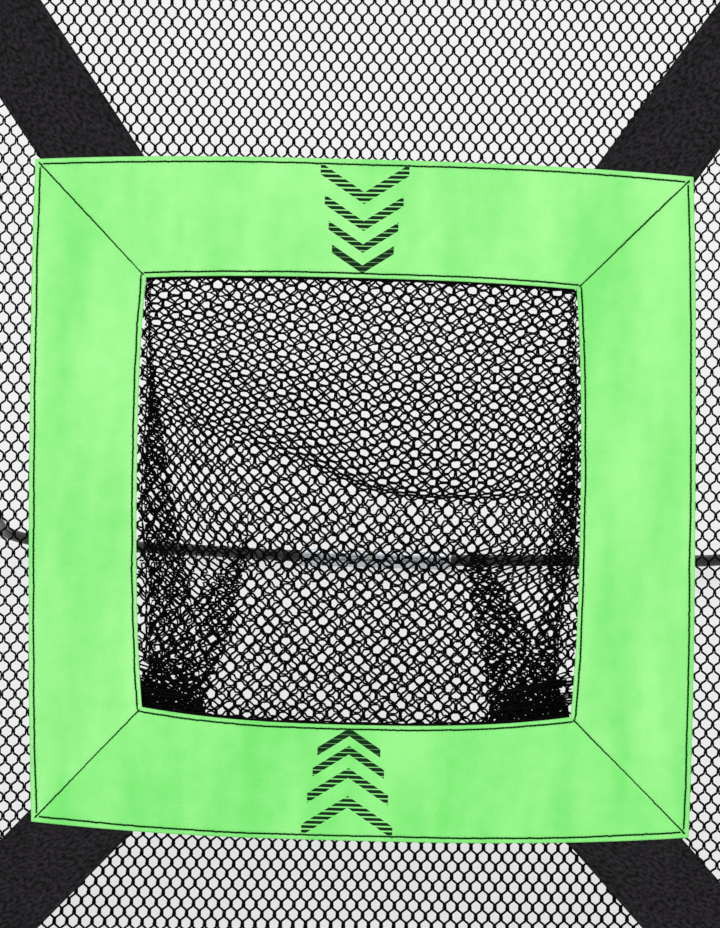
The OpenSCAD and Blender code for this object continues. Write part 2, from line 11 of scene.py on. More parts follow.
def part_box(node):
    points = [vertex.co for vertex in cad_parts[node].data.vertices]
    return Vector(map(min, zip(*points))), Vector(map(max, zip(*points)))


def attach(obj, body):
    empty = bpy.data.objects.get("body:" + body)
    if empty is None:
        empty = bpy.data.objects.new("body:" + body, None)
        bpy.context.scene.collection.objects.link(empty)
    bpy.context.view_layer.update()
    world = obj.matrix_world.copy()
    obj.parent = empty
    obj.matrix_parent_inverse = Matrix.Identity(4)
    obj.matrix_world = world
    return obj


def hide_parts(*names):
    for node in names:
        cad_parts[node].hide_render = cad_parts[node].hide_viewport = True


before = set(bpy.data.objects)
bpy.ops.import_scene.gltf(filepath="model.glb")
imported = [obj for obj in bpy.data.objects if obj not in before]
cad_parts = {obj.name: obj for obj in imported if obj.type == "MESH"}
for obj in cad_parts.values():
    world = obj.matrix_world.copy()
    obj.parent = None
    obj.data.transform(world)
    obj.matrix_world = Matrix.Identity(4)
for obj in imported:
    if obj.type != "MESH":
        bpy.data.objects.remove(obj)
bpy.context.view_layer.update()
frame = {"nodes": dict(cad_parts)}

bl_info = {
    "name": "Golf chipping net",
    "version": (1, 0, 0),
    "blender": (4, 5, 0),
    "location": "View3D > Sidebar > Chipping net",
    "description": "Cloth, netting, stitching and finishes of a golf chipping net",
    "category": "Object",
}

MM = 0.001

# ---- The leaning panel: x across, n behind it and v up it, from the middle of the target ----


def middle_of(node):
    low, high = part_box(node)
    return np.array((low + high) / 2)


BOTTOM_TUBE = middle_of("bottom_sleeve")
TOP_TUBE = middle_of("top_sleeve")
PANEL_H = float(np.linalg.norm(TOP_TUBE - BOTTOM_TUBE))
UP = (TOP_TUBE - BOTTOM_TUBE) / PANEL_H
BACK = np.array((0.0, UP[2], -UP[1]))
ACROSS = np.array((1.0, 0.0, 0.0))
TARGET = (middle_of("target_band_left") + middle_of("target_band_right")) / 2
BOTTOM_V = float((BOTTOM_TUBE - TARGET) @ UP)
TOP_V = float((TOP_TUBE - TARGET) @ UP)
TUBE_R = 6.35 * MM
SIDE_X = float(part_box("frame_tube_right")[1][0] - TUBE_R)
BEND_R = 60 * MM  # of the frame tube's corners, to its centre line
WAVE_COUNT = 5


def on_panel(x, n, v):
    """World points of panel coordinates, as an array whose last axis is x, y, z."""
    x, n, v = np.broadcast_arrays(x, n, v)
    return TARGET + x[..., None] * ACROSS + n[..., None] * BACK + v[..., None] * UP


def smooth_step(t):
    t = np.clip(t, 0, 1)
    return t * t * (3 - 2 * t)


def bell(d, width):
    return np.exp(-((d / width) ** 2))


def unit(vectors):
    return vectors / (np.linalg.norm(vectors, axis=-1, keepdims=True) + 1e-12)


def reach_along(path):
    """Distance of each point of a path (points, any) from its first."""
    return np.concatenate([[0], np.cumsum(np.linalg.norm(np.diff(path, axis=0), axis=1))])


def rounded_edge(edge, radius, least=0.0):
    """Share of a cloth's thickness at a distance from its edge."""
    inward = 1 - np.clip(edge / radius, 0, 1)
    return np.sqrt(np.clip(1 - inward ** 2, least, 1))


def waves(x, v, seed, length):
    """Soft irregular waves between about -1 and 1, with crests about length apart."""
    rng = np.random.default_rng(seed)
    total = 0.0
    for _ in range(WAVE_COUNT):
        angle, phase, stretch = rng.random(3) * (math.pi, 2 * math.pi, 0.8)
        k = 2 * math.pi / (length * (0.7 + stretch))
        total = total + np.sin(k * (x * math.cos(angle) + v * math.sin(angle)) + phase)
    return total / math.sqrt(2 * WAVE_COUNT)


# ---- Meshes ----


def add_mesh(name, points, quads, material, uv=None):
    """A new piece from points (n, 3) and four-cornered faces, with uv given per point."""
    mesh = bpy.data.meshes.new(name)
    quads = np.asarray(quads, np.int32)
    mesh.vertices.add(len(points))
    mesh.vertices.foreach_set("co", np.asarray(points, np.float32).ravel())
    mesh.loops.add(quads.size)
    mesh.loops.foreach_set("vertex_index", quads.ravel())
    mesh.polygons.add(len(quads))
    mesh.polygons.foreach_set("loop_start", np.arange(0, quads.size, 4, dtype=np.int32))
    mesh.polygons.foreach_set("use_smooth", np.full(len(quads), True))
    if uv is not None:
        layer = mesh.uv_layers.new(name="cloth")
        layer.data.foreach_set("uv", np.asarray(uv, np.float32)[quads.ravel()].ravel())
    mesh.update(calc_edges=True)
    mesh.validate()
    mesh.materials.append(material)
    piece = bpy.data.objects.new(name, mesh)
    bpy.context.scene.collection.objects.link(piece)
    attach(piece, "frame")
    return piece


def grid_faces(rows, columns, flip=False):
    start = np.arange(rows * columns).reshape(rows, columns)[:-1, :-1].ravel()
    faces = np.stack([start, start + 1, start + columns + 1, start + columns], 1)
    return faces[:, ::-1] if flip else faces


def thick_sheet(front, back):
    """Points and faces of the closed cloth between two grids of points."""
    rows, columns = front.shape[:2]
    count = rows * columns
    edge = np.concatenate([
        np.arange(columns - 1),
        np.arange(rows - 1) * columns + columns - 1,
        count - 1 - np.arange(columns - 1),
        (rows - 1 - np.arange(rows - 1)) * columns])
    after = np.roll(edge, -1)
    rim = np.stack([edge, edge + count, after + count, after], 1)
    faces = np.concatenate([grid_faces(rows, columns, True), grid_faces(rows, columns) + count,
                            rim[:, ::-1]])
    points = np.concatenate([front.reshape(-1, 3), back.reshape(-1, 3)])
    return points, outward(points, faces)


def both_sides(uv):
    """The cloth coordinates of a thick sheet, from those of one of its grids."""
    uv = uv.reshape(-1, 2)
    return np.concatenate([uv, uv])


def outward(points, faces):
    """The same faces, all turned over if they point inwards."""
    a, b, c, d = (points[faces[:, i]] for i in range(4))
    volume = np.einsum("ij,ij->", a, np.cross(b, c)) + np.einsum("ij,ij->", a, np.cross(c, d))
    return faces if volume > 0 else faces[:, ::-1]


def join(parts):
    """One list of points, faces and uv from several."""
    points, faces, uvs, start = [], [], [], 0
    for part in parts:
        points.append(part[0])
        faces.append(part[1] + start)
        if len(part) > 2:
            uvs.append(part[2])
        start += len(part[0])
    joined = [np.concatenate(points), np.concatenate(faces)]
    return joined + [np.concatenate(uvs)] if uvs else joined


# ---- Shaders ----


class Value:
    """A shader socket that plain sums and comparisons can be written with."""

    def __init__(self, finish, socket):
        self.finish = finish
        self.socket = socket

    def _math(self, operation, *values):
        node = self.finish.node("ShaderNodeMath", {"operation": operation},
                                dict(enumerate(values)))
        return Value(self.finish, node.outputs[0])

    def __add__(self, other):
        return self._math("ADD", self, other)

    def __sub__(self, other):
        return self._math("SUBTRACT", self, other)

    def __rsub__(self, other):
        return self._math("SUBTRACT", other, self)

    def __mul__(self, other):
        return self._math("MULTIPLY", self, other)

    def __truediv__(self, other):
        return self._math("DIVIDE", self, other)

    def __lt__(self, other):
        return self._math("LESS_THAN", self, other)

    def __gt__(self, other):
        return self._math("GREATER_THAN", self, other)

    def __abs__(self):
        return self._math("ABSOLUTE", self)

    def sine(self):
        return self._math("SINE", self)

    def fraction(self):
        return self._math("FRACT", self)

    def most(self, other):
        return self._math("MAXIMUM", self, other)

    __radd__ = __add__
    __rmul__ = __mul__


class Shading:
    """The node tree of a material or a world, and the one way its nodes are made."""

    def __init__(self, owner):
        owner.use_nodes = True
        self.tree = owner.node_tree

    def fill(self, node, sockets):
        for key, value in sockets.items():
            if isinstance(value, Value):
                self.tree.links.new(value.socket, node.inputs[key])
            else:
                node.inputs[key].default_value = value

    def node(self, kind, settings=None, sockets=None):
        node = self.tree.nodes.new(kind)
        for setting, value in (settings or {}).items():
            setattr(node, setting, value)
        self.fill(node, sockets or {})
        return node

    def value(self, node, output=0):
        return Value(self, node.outputs[output])

    def place(self):
        return self.value(self.node("ShaderNodeTexCoord"), "Object")

    def cloth_uv(self):
        return self.value(self.node("ShaderNodeUVMap", {"uv_map": "cloth"}), "UV")

    def split(self, vector):
        parts = self.node("ShaderNodeSeparateXYZ", sockets={0: vector})
        return [self.value(parts, axis) for axis in range(3)]

    def noise(self, vector, scale, detail=3.0):
        return self.value(self.node("ShaderNodeTexNoise", sockets={
            "Vector": vector, "Scale": scale, "Detail": detail}), "Fac")

    def mix(self, factor, first, second):
        sockets = {0: factor, 6: first, 7: second}
        return self.value(self.node("ShaderNodeMix", {"data_type": "RGBA"}, sockets), 2)

    def seen_directly(self):
        """1 for rays that show the background itself, and 0 for those that light the object."""
        rays = self.node("ShaderNodeLightPath")
        return self.value(rays, "Is Camera Ray").most(self.value(rays, "Is Glossy Ray"))

    def blend(self, factor, first, second, output):
        """End the tree in a mix of two surfaces."""
        mixed = self.node("ShaderNodeMixShader", sockets={
            0: factor, 1: self.value(first), 2: self.value(second)})
        self.fill(self.tree.nodes[output], {"Surface": self.value(mixed)})


class Finish(Shading):
    """A new material with a Principled surface."""

    def __init__(self, name, roughness, **sockets):
        self.material = bpy.data.materials.new(name)
        super().__init__(self.material)
        self.surface = self.tree.nodes["Principled BSDF"]
        self.set("Roughness", roughness)
        for socket, value in sockets.items():
            self.set(socket.replace("_", " ").title().replace("Ior", "IOR"), value)

    def set(self, socket, value):
        self.fill(self.surface, {socket: value})

    def bump(self, height, distance, strength=1.0):
        self.set("Normal", self.value(self.node("ShaderNodeBump", sockets={
            "Height": height, "Distance": distance, "Strength": strength})))


def shade(colour, factor):
    return tint(colour, factor, factor, factor)


def tint(colour, *factors):
    return tuple(min(1.0, c * factor) for c, factor in zip(colour, factors)) + (1.0,)


def woven(finish, uv, pitch):
    """Height of a plain weave, between 0 and 1: threads over and under in a chequer."""
    u, v, _ = finish.split(uv)
    across = (u * (math.pi / pitch)).sine()
    along = (v * (math.pi / pitch)).sine()
    return abs(across) * abs(along) + across * along * 0.5


GREEN_WEAVE = 0.62 * MM  # from one thread of the weave to the next
BLACK_WEAVE = 0.7 * MM
CHEVRON_STRIPE = 3.19 * MM  # from one dark bar of the print to the next
CHEVRON_SLOPE = math.tan(math.radians(33))


def target_cloth(name, colour, print_colour, chevrons):
    """Bright woven polyester with painted shade and highlight of its folds, printed with chevrons
    as CHEVRON_ROWS lists them, in metres.
    """
    finish = Finish(name, roughness=0.7, specular_ior_level=0.12)
    uv = finish.cloth_uv()
    u, v, _ = finish.split(uv)
    weave = woven(finish, uv, GREEN_WEAVE)
    # Painted shade and painted highlight: slow noise, stretched into slanting streaks, darkens and
    # lightens the cloth where the light and shade of its folds and wrinkles would fall.
    crease = finish.node("ShaderNodeMapping", sockets={
        "Vector": uv, "Rotation": (0, 0, 0.7), "Scale": (26.0, 7.0, 1.0)})
    slow = finish.noise(finish.value(crease), 1.0, 2.5)
    mottle = finish.noise(uv, 70)
    fine = finish.noise(uv, 1100, 2.0)
    # The colour runs from a painted-shade copy to a painted-lit copy. It is driven by the painted
    # fold shade together with random mottle and fine tone.
    tone = slow * 2.6 + mottle * 0.8 + fine * 0.7 + weave * 0.1 - 1.55
    cloth = finish.mix(tone, tint(colour, 0.74, 0.9, 0.78), tint(colour, 1.2, 1.02, 1.2))
    marks = []
    for centre, tip, half_width, stroke, dark, way in chevrons:
        aside = abs(u - centre)
        height = (v - tip) * way - aside * CHEVRON_SLOPE
        inside = (aside < half_width) * (height > 0) * (height < stroke)
        bars = ((v - tip) / CHEVRON_STRIPE + 0.5 * dark).fraction() < dark
        marks.append(inside * bars)
    if marks:
        worn = reduce(Value.most, marks) * (0.97 + fine * 0.06)
        cloth = finish.mix(worn, cloth, shade(print_colour, 1.0))
    finish.set("Base Color", cloth)
    finish.bump(weave * 0.6 + fine * 0.5, 0.12 * MM)
    return finish.material


def dark_cloth(name, colour):
    finish = Finish(name, roughness=0.85, specular_ior_level=0.1)
    uv = finish.cloth_uv()
    weave = woven(finish, uv, BLACK_WEAVE)
    grain = finish.noise(uv, 420)
    mottle = finish.noise(uv, 40)
    finish.set("Base Color", finish.mix(grain * 3.2 + weave * 0.25 + mottle * 0.7 - 1.6,
                                        shade(colour, 0.25), shade(colour, 1.9)))
    finish.bump(weave * 0.7 + grain * 0.4, 0.15 * MM)
    return finish.material


def thread(name, colour):
    finish = Finish(name, roughness=0.85, specular_ior_level=0.06)
    place = finish.place()
    fuzz = finish.noise(place, 1400, 2.0)
    drift = finish.noise(place, 60, 2.0)
    finish.set("Base Color", finish.mix(fuzz * 0.6 + drift * 0.3, shade(colour, 0.6),
                                        shade(colour, 1.5)))
    finish.bump(fuzz, 0.15 * MM, 0.6)
    return finish.material


def powder_coat(name, colour):
    finish = Finish(name, roughness=0.42, coat_weight=0.15, coat_roughness=0.3)
    place = finish.place()
    peel = finish.noise(place, 420, 2.0)
    dust = finish.noise(place, 30, 4.0)
    finish.set("Base Color", finish.mix(dust, shade(colour, 0.8), shade(colour, 1.3)))
    finish.set("Roughness", 0.34 + dust * 0.16)
    finish.bump(peel, 0.12 * MM, 0.5)
    return finish.material


def drawn_metal(name, colour, roughness, lengthwise=(6.0, 900.0, 900.0)):
    """Metal with fine drawing lines that run along x."""
    finish = Finish(name, roughness=roughness, metallic=1.0)
    place = finish.place()
    stretched = finish.node("ShaderNodeMapping", sockets={"Vector": place, "Scale": lengthwise})
    lines = finish.noise(finish.value(stretched), 1.0, 2.0)
    cloud = finish.noise(place, 25)
    finish.set("Base Color", finish.mix(cloud, shade(colour, 0.85), shade(colour, 1.05)))
    finish.set("Roughness", roughness * 0.7 + lines * (roughness * 0.7))
    finish.bump(lines, 0.012 * MM, 0.4)
    return finish.material


def moulded(name, colour, roughness):
    """Plastic or rubber with a fine moulded grain."""
    finish = Finish(name, roughness)
    place = finish.place()
    spark = finish.noise(place, 900, 2.0)
    cloud = finish.noise(place, 40)
    finish.set("Base Color", finish.mix(cloud * 0.6 + spark * 0.3, shade(colour, 0.8),
                                        shade(colour, 1.25)))
    finish.set("Roughness", roughness - 0.08 + cloud * 0.16)
    finish.bump(spark, 0.05 * MM, 0.6)
    return finish.material


# ---- Sizes and colours that a user would change ----


def length_property(name, description, default):
    return FloatProperty(name=name, description=description, default=default, unit="LENGTH")


def colour_property(name, description, default):
    return FloatVectorProperty(name=name, description=description, default=default,
                               subtype="COLOR", min=0.0, max=1.0)


class TargetSizes(bpy.types.PropertyGroup):
    cloth_thickness: length_property(
        "Cloth thickness", "Thickness of the doubled green cloth", 1.8 * MM)
    wave: length_property(
        "Waviness", "How far the cloth stands off its flat plane", 1.2 * MM)
    stitch_pitch: length_property(
        "Stitch pitch", "Distance from one stitch to the next", 2.8 * MM)
    stitch_length: length_property(
        "Stitch length", "Length of the thread that shows of one stitch", 3.5 * MM)
    outer_margin: length_property(
        "Outer margin", "Distance of the topstitch from the outer edge", 3.6 * MM)
    inner_margin: length_property(
        "Inner margin", "Distance of the topstitch from the opening", 3.1 * MM)


class NetSizes(bpy.types.PropertyGroup):
    column_pitch: length_property(
        "Column pitch", "Width of one mesh of the net, middle to middle", 8.8 * MM)
    thread_radius: length_property(
        "Thread radius", "Half the width of one thread of the net", 0.77 * MM)
    belly: length_property(
        "Belly", "Depth of the net's middle behind the frame", 78 * MM)
    pocket_thread_radius: length_property(
        "Pocket thread radius", "Half the width of a thread of the pocket", 0.68 * MM)
    pocket_half_cells: IntProperty(
        name="Pocket half width in rows", description="Mesh rows from the pocket's middle out",
        default=84)


class FinishColours(bpy.types.PropertyGroup):
    target: colour_property("Target cloth", "Colour of the target's bands", (0.33, 0.965, 0.262))
    ink: colour_property("Chevron print", "Colour of the printed chevrons", (0.004, 0.022, 0.007))
    target_thread: colour_property("Topstitch", "Colour of the target's stitches",
                                   (0.002, 0.035, 0.005))
    strap: colour_property("Straps", "Colour of the corner straps", (0.0150, 0.0132, 0.0150))
    net: colour_property("Net thread", "Colour of the net's thread", (0.0022, 0.0021, 0.0022))
    frame: colour_property("Powder coat", "Colour of the painted tubes", (0.012, 0.012, 0.013))
    floor: colour_property("Floor", "Colour of the floor", (0.80, 0.80, 0.80))


# ---- Target ----


def edge_steps(length, step):
    """Places from 0 to length, close together near both ends for the seams and edges."""
    close = np.array([0, 0.35, 0.9, 1.6, 2.3, 2.9, 3.5, 4.1, 4.8, 6.0, 8.0]) * MM
    count = max(2, round((length - 2 * close[-1]) / step))
    inner = np.linspace(close[-1], length - close[-1], count)
    return np.concatenate([close[:-1], inner, length - close[:-1][::-1]])


class Band:
    """One mitred band of the target, between an outer and an inner edge in millimetres."""

    def __init__(self, outer, inner, outer_bow, inner_bow, seed, fold_at_mitre):
        self.outer = np.array(outer) * MM
        self.inner = np.array(inner) * MM
        self.outer_bow = np.array(outer_bow) * MM
        self.inner_bow = np.array(inner_bow) * MM
        self.seed = seed
        self.fold_at_mitre = fold_at_mitre
        self.length, self.inner_length = (
            float(np.linalg.norm(edge[1] - edge[0])) for edge in (self.outer, self.inner))
        self.width = float(np.linalg.norm(self.outer.mean(0) - self.inner.mean(0)))

    def point(self, s, t):
        """Panel x and v, for s from 0 to 1 along and t from 0 (outer) to 1 (inner) across."""
        s, t = np.asarray(s)[..., None], np.asarray(t)[..., None]
        bow = 1 - np.abs(2 * s - 1) ** 2.6
        outer = self.outer[0] * (1 - s) + self.outer[1] * s + bow * self.outer_bow
        inner = self.inner[0] * (1 - s) + self.inner[1] * s + bow * self.inner_bow
        where = outer * (1 - t) + inner * t
        return where[..., 0], where[..., 1]

    def mitre_distance(self, s, t):
        length = self.length * (1 - t) + self.inner_length * t
        return np.minimum(s, 1 - s) * length * math.sqrt(0.5)

    def rise(self, s, t, sizes):
        """How far the cloth stands in front of the panel's plane."""
        x, v = self.point(s, t)
        out, inn, mitre = t * self.width, (1 - t) * self.width, self.mitre_distance(s, t)
        seam = np.minimum(out, inn)
        grooves = 0.45 * MM * (bell(mitre, 1.5 * MM) + bell(out - sizes.outer_margin, 0.8 * MM)
                               + bell(inn - sizes.inner_margin, 0.8 * MM))
        pucker = waves(x, v, self.seed + 40, 13 * MM) * bell(seam - 5 * MM, 7 * MM) * 0.22 * MM
        fold = smooth_step((mitre - 2.3 * MM) / (0.6 * MM)) * 0.4 * MM if self.fold_at_mitre else 0
        roll = smooth_step(mitre / (18 * MM)) * smooth_step(seam / (12 * MM))
        slow = self.slow_wave(x, v, sizes) * (0.35 + 0.65 * roll)
        slack = waves(x, v, self.seed + 9, 34 * MM) * sizes.wave * 0.22 * roll
        thickness = (sizes.cloth_thickness / 2 - grooves) * self.rounding(s, t)
        return thickness + pucker - fold + slow + slack

    def slow_wave(self, x, v, sizes):
        return waves(x, v, self.seed, 95 * MM) * sizes.wave

    def rounding(self, s, t):
        edge = np.minimum(np.minimum(t, 1 - t) * self.width, self.mitre_distance(s, t))
        return rounded_edge(edge, 1.2 * MM)


BANDS = {
    "target_band_top": Band([(-234, 231), (226, 230)], [(-154, 150), (147, 149.5)],
                            (0, 6), (0, 3.8), 1, False),
    "target_band_bottom": Band([(-224, -233), (235.5, -230)], [(-148.5, -150.5), (151, -148.5)],
                               (0, -8), (0, -9), 2, False),
    "target_band_left": Band([(-234, 231), (-224, -233)], [(-154, 150), (-148.5, -150.5)],
                             (-3, 0), (-5.2, 0), 3, True),
    "target_band_right": Band([(226, 230), (235.5, -230)], [(147, 149.5), (151, -148.5)],
                              (3, 0), (4.8, 0), 4, True),
}
# Painted shade: how much darker the cloth of a band is drawn than the others', in red, green and
# blue, for the light that falls on it less.
BAND_PAINTED_SHADE = {"target_band_bottom": (0.84, 0.97, 0.85), "target_band_right": (0.95, 0.99, 0.95)}
# Each chevron: middle x, tip v, half width, vertical stroke, dark share and the arms' way.
CHEVRON_ROWS = {
    "target_band_top": [(-2.8, 205.2, 31, 8.2, 0.66, 1), (-2.8, 186.3, 27.6, 6.9, 0.74, 1),
                        (-2.8, 171, 24.4, 6.0, 0.84, 1), (-2.8, 156.6, 21.6, 5.7, 0.95, 1)],
    "target_band_bottom": [(-2.8, -160.7, 22, 5.7, 0.95, -1), (-2.8, -173.2, 25, 6.0, 0.84, -1),
                           (-2.8, -188.6, 28.3, 6.9, 0.74, -1),
                           (-2.8, -208.1, 31.8, 8.2, 0.66, -1)],
}


UNPRINTED = 0.6  # shifts the cloth coordinates of the back, which the print misses
BACK_N = 1.25 * MM  # the furthest that the cloth's back stands behind the panel


def band_points(band, sizes, s, t):
    """Points on the cloth's front."""
    x, v = band.point(s, t)
    return on_panel(x, -band.rise(s, t, sizes), v)


def make_band(name, band, material, sizes):
    along = edge_steps(band.length, 2.6 * MM) / band.length
    across = edge_steps(band.width, 2.4 * MM) / band.width
    s, t = np.meshgrid(along, across)
    x, v = band.point(s, t)
    rise = band.rise(s, t, sizes)
    behind = sizes.cloth_thickness / 2 * band.rounding(s, t) - band.slow_wave(x, v, sizes) * 0.4
    back = on_panel(x, np.clip(behind, -rise + 0.3 * MM, BACK_N), v)
    points, faces = thick_sheet(on_panel(x, -rise, v), back)
    uv = np.stack([x.ravel(), v.ravel()], 1)
    piece = add_mesh(name + "_cloth", points, faces, material,
                     uv=np.concatenate([uv, uv + (UNPRINTED, 0)]))
    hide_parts(name)


STITCH_SIDES = 6
# Along one stitch: where its rings lie, and how thick it is there. Its ends are closed by quads.
STITCH_RINGS = ((0.0, 0.25), (0.2, 1.0), (0.8, 1.0), (1.0, 0.25))
STITCH_CAPS = np.array([[0, 3, 2, 1], [0, 5, 4, 3], [18, 19, 20, 21], [18, 21, 22, 23]])


def stitches(path, lift, half_length, radius, pitch, seed, wobble=0.25 * MM):
    """Points and faces of short rounded stitches along a path of world points."""
    rng = np.random.default_rng(seed)
    reach = reach_along(path)
    count = max(1, int(reach[-1] / pitch))
    turn = 2 * math.pi * np.arange(STITCH_SIDES)[:, None] / STITCH_SIDES
    first = np.arange(STITCH_SIDES)
    after = (first + 1) % STITCH_SIDES
    faces = np.concatenate([np.stack([first, after, after + STITCH_SIDES, first + STITCH_SIDES], 1)
                            + ring * STITCH_SIDES for ring in range(3)] + [STITCH_CAPS])
    parts = []
    for i in range(count):
        middle = (i + 0.5) * reach[-1] / count
        ends = [np.array([np.interp(middle + d, reach, path[:, k]) for k in range(3)])
                for d in (-half_length, half_length)]
        side = unit(np.cross(unit(ends[1] - ends[0]), lift))
        shift = side * rng.normal(0, wobble) + lift * radius * 0.25
        a, b = ends[0] + shift + side * rng.normal(0, wobble * 0.5), ends[1] + shift
        ring = radius * (np.cos(turn) * side + np.sin(turn) * lift * 0.8)
        points = np.concatenate([a * (1 - s) + b * s + ring * size for s, size in STITCH_RINGS])
        parts.append((points, outward(points - points.mean(0), faces)))
    return join(parts)


def make_target_stitches(material, sizes):
    half, radius = sizes.stitch_length / 2, 0.68 * MM
    parts = []

    def sew(band, s, t, seed, wobble):
        parts.append(stitches(band_points(band, sizes, s, t), -BACK, half, radius,
                              sizes.stitch_pitch, seed, wobble))

    for number, band in enumerate(BANDS.values()):
        along = np.linspace(0.004, 0.996, 200)
        for margin in (sizes.outer_margin, band.width - sizes.inner_margin):
            t = np.full_like(along, margin / band.width)
            drift = waves(along * band.length, t * band.width, 80 + number, 60 * MM) * 0.3 * MM
            sew(band, along, t + drift / band.width, 100 + number, 0.09 * MM)
        if band.fold_at_mitre:
            for end in (0.0, 1.0):
                t = np.linspace(0.03, 0.98, 60)
                sew(band, np.full_like(t, end), t, 120 + number, 0.12 * MM)
    points, faces = join(parts)
    add_mesh("target_stitching", points, faces, material)


# ---- Straps ----

STRAP_W = 62 * MM
STRAP_T = 1.5 * MM
STRAP_N = 2.0 * MM  # behind the panel
STRAP_LAP = 15 * MM  # under the bands
STRAP_ROWS = 70
TARGET_HALF = 230 * MM
TUNNEL_R = 7.55 * MM
SEAM_IN = 4.6 * MM  # from the strap's edge


def strap_line(end):
    """Centre of a right corner's bend, the bend's middle and the strap's way towards it."""
    corner_v = TOP_V if end > 0 else BOTTOM_V
    centre = np.array([SIDE_X - BEND_R, corner_v - end * BEND_R])
    bend = centre + BEND_R * math.sqrt(0.5) * np.array([1, end])
    reach = bend - TARGET_HALF * np.array([1, end])
    angle = math.atan2(end * reach[1], reach[0]) - math.asin(STRAP_W / 2 / np.linalg.norm(reach))
    way = np.array([math.cos(angle), end * math.sin(angle)])
    return centre, bend, way


def make_strap(side, end, name, cloth, thread_material):
    centre, bend, way = strap_line(end)
    aside = np.array([-way[1], way[0]])
    b = np.linspace(-STRAP_W / 2, STRAP_W / 2, 30)
    # The flat strip. Each line along it starts under the bands and ends at the tube.
    lines = []
    for offset in b:
        start = bend + aside * offset
        run = max((start * (1, end) - (TARGET_HALF - STRAP_LAP)) / (way * (1, end)))
        from_centre = start - centre
        along_way = from_centre @ way
        gap = from_centre @ from_centre - (BEND_R - 5 * MM) ** 2
        forward = -along_way + math.sqrt(max(along_way ** 2 - gap, 0))
        lines.append(start + np.linspace(-run, forward, STRAP_ROWS)[:, None] * way)
    x, v = np.moveaxis(np.array(lines) * (side, 1), -1, 0)
    edge = np.minimum(b - b[0], b[-1] - b)[:, None] * np.ones(STRAP_ROWS)
    hem = 0.25 * MM * bell(edge - 2 * MM, 2 * MM) - 0.35 * MM * bell(edge - SEAM_IN, 0.8 * MM)
    middle = STRAP_N + waves(x, v, 60 + side + 3 * end, 42 * MM) * 0.45 * MM
    rounding = rounded_edge(edge, 0.8 * MM, 0.02)
    front = on_panel(x, middle - (STRAP_T / 2 + hem) * rounding, v)
    flat = thick_sheet(front, on_panel(x, middle + STRAP_T / 2 * rounding, v))
    flat_uv = np.stack(np.meshgrid(b, np.linspace(0, 0.12, STRAP_ROWS), indexing="ij"), -1)
    # The tunnel round the bend of the tube.
    span = math.asin(STRAP_W / 2 / BEND_R)
    turn, around = np.meshgrid(np.linspace(-span, span, 34), np.linspace(0, 2 * math.pi, 37))
    pucker = 1 + 0.03 * np.sin(turn * 60 + 2 * np.sin(around))
    shells = []
    for radius in (TUNNEL_R + STRAP_T / 2, TUNNEL_R - STRAP_T / 2):
        r = BEND_R + radius * pucker * np.cos(around)
        n = radius * pucker * np.sin(around)
        angle = math.pi / 4 + turn
        x = (centre[0] + r * np.cos(angle)) * side
        v = centre[1] + end * r * np.sin(angle)
        shells.append(on_panel(x, n, v))
    tunnel_uv = np.stack([turn * BEND_R, around * TUNNEL_R], -1)
    points, faces, uv = join([(*flat, both_sides(flat_uv)),
                              (*thick_sheet(*shells), both_sides(tunnel_uv))])
    piece = add_mesh(name + "_cloth", points, faces, cloth, uv=uv)
    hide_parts(name)
    # Edge stitches, on the front.
    rows = [np.argmin(abs(distance - SEAM_IN)) for distance in (b - b[0], b[-1] - b)]
    points, faces = join([stitches(front[row, 2:-6], -BACK, 1.0 * MM, 0.35 * MM, 2.8 * MM,
                                   200 + side + 3 * end) for row in rows])
    add_mesh(name + "_stitching", points, faces, thread_material)


# ---- Hems ----

HEM_T = 1.5 * MM
HEM_LAYER = 0.8 * MM  # from the fold's middle plane to the middle of either layer
HEM_INNER = 10.4 * MM  # from the tube's centre line to where the tunnel closes
HEM_END = 28.3 * MM
CORNER_ROOM = 66 * MM  # from the frame's corner to where the hems on both sides start
SLEEVE_WINDOW = 118 * MM  # the openings in the tunnels, along the tube
SMALL_WINDOW = 56 * MM
HINGE_V = 80 * MM


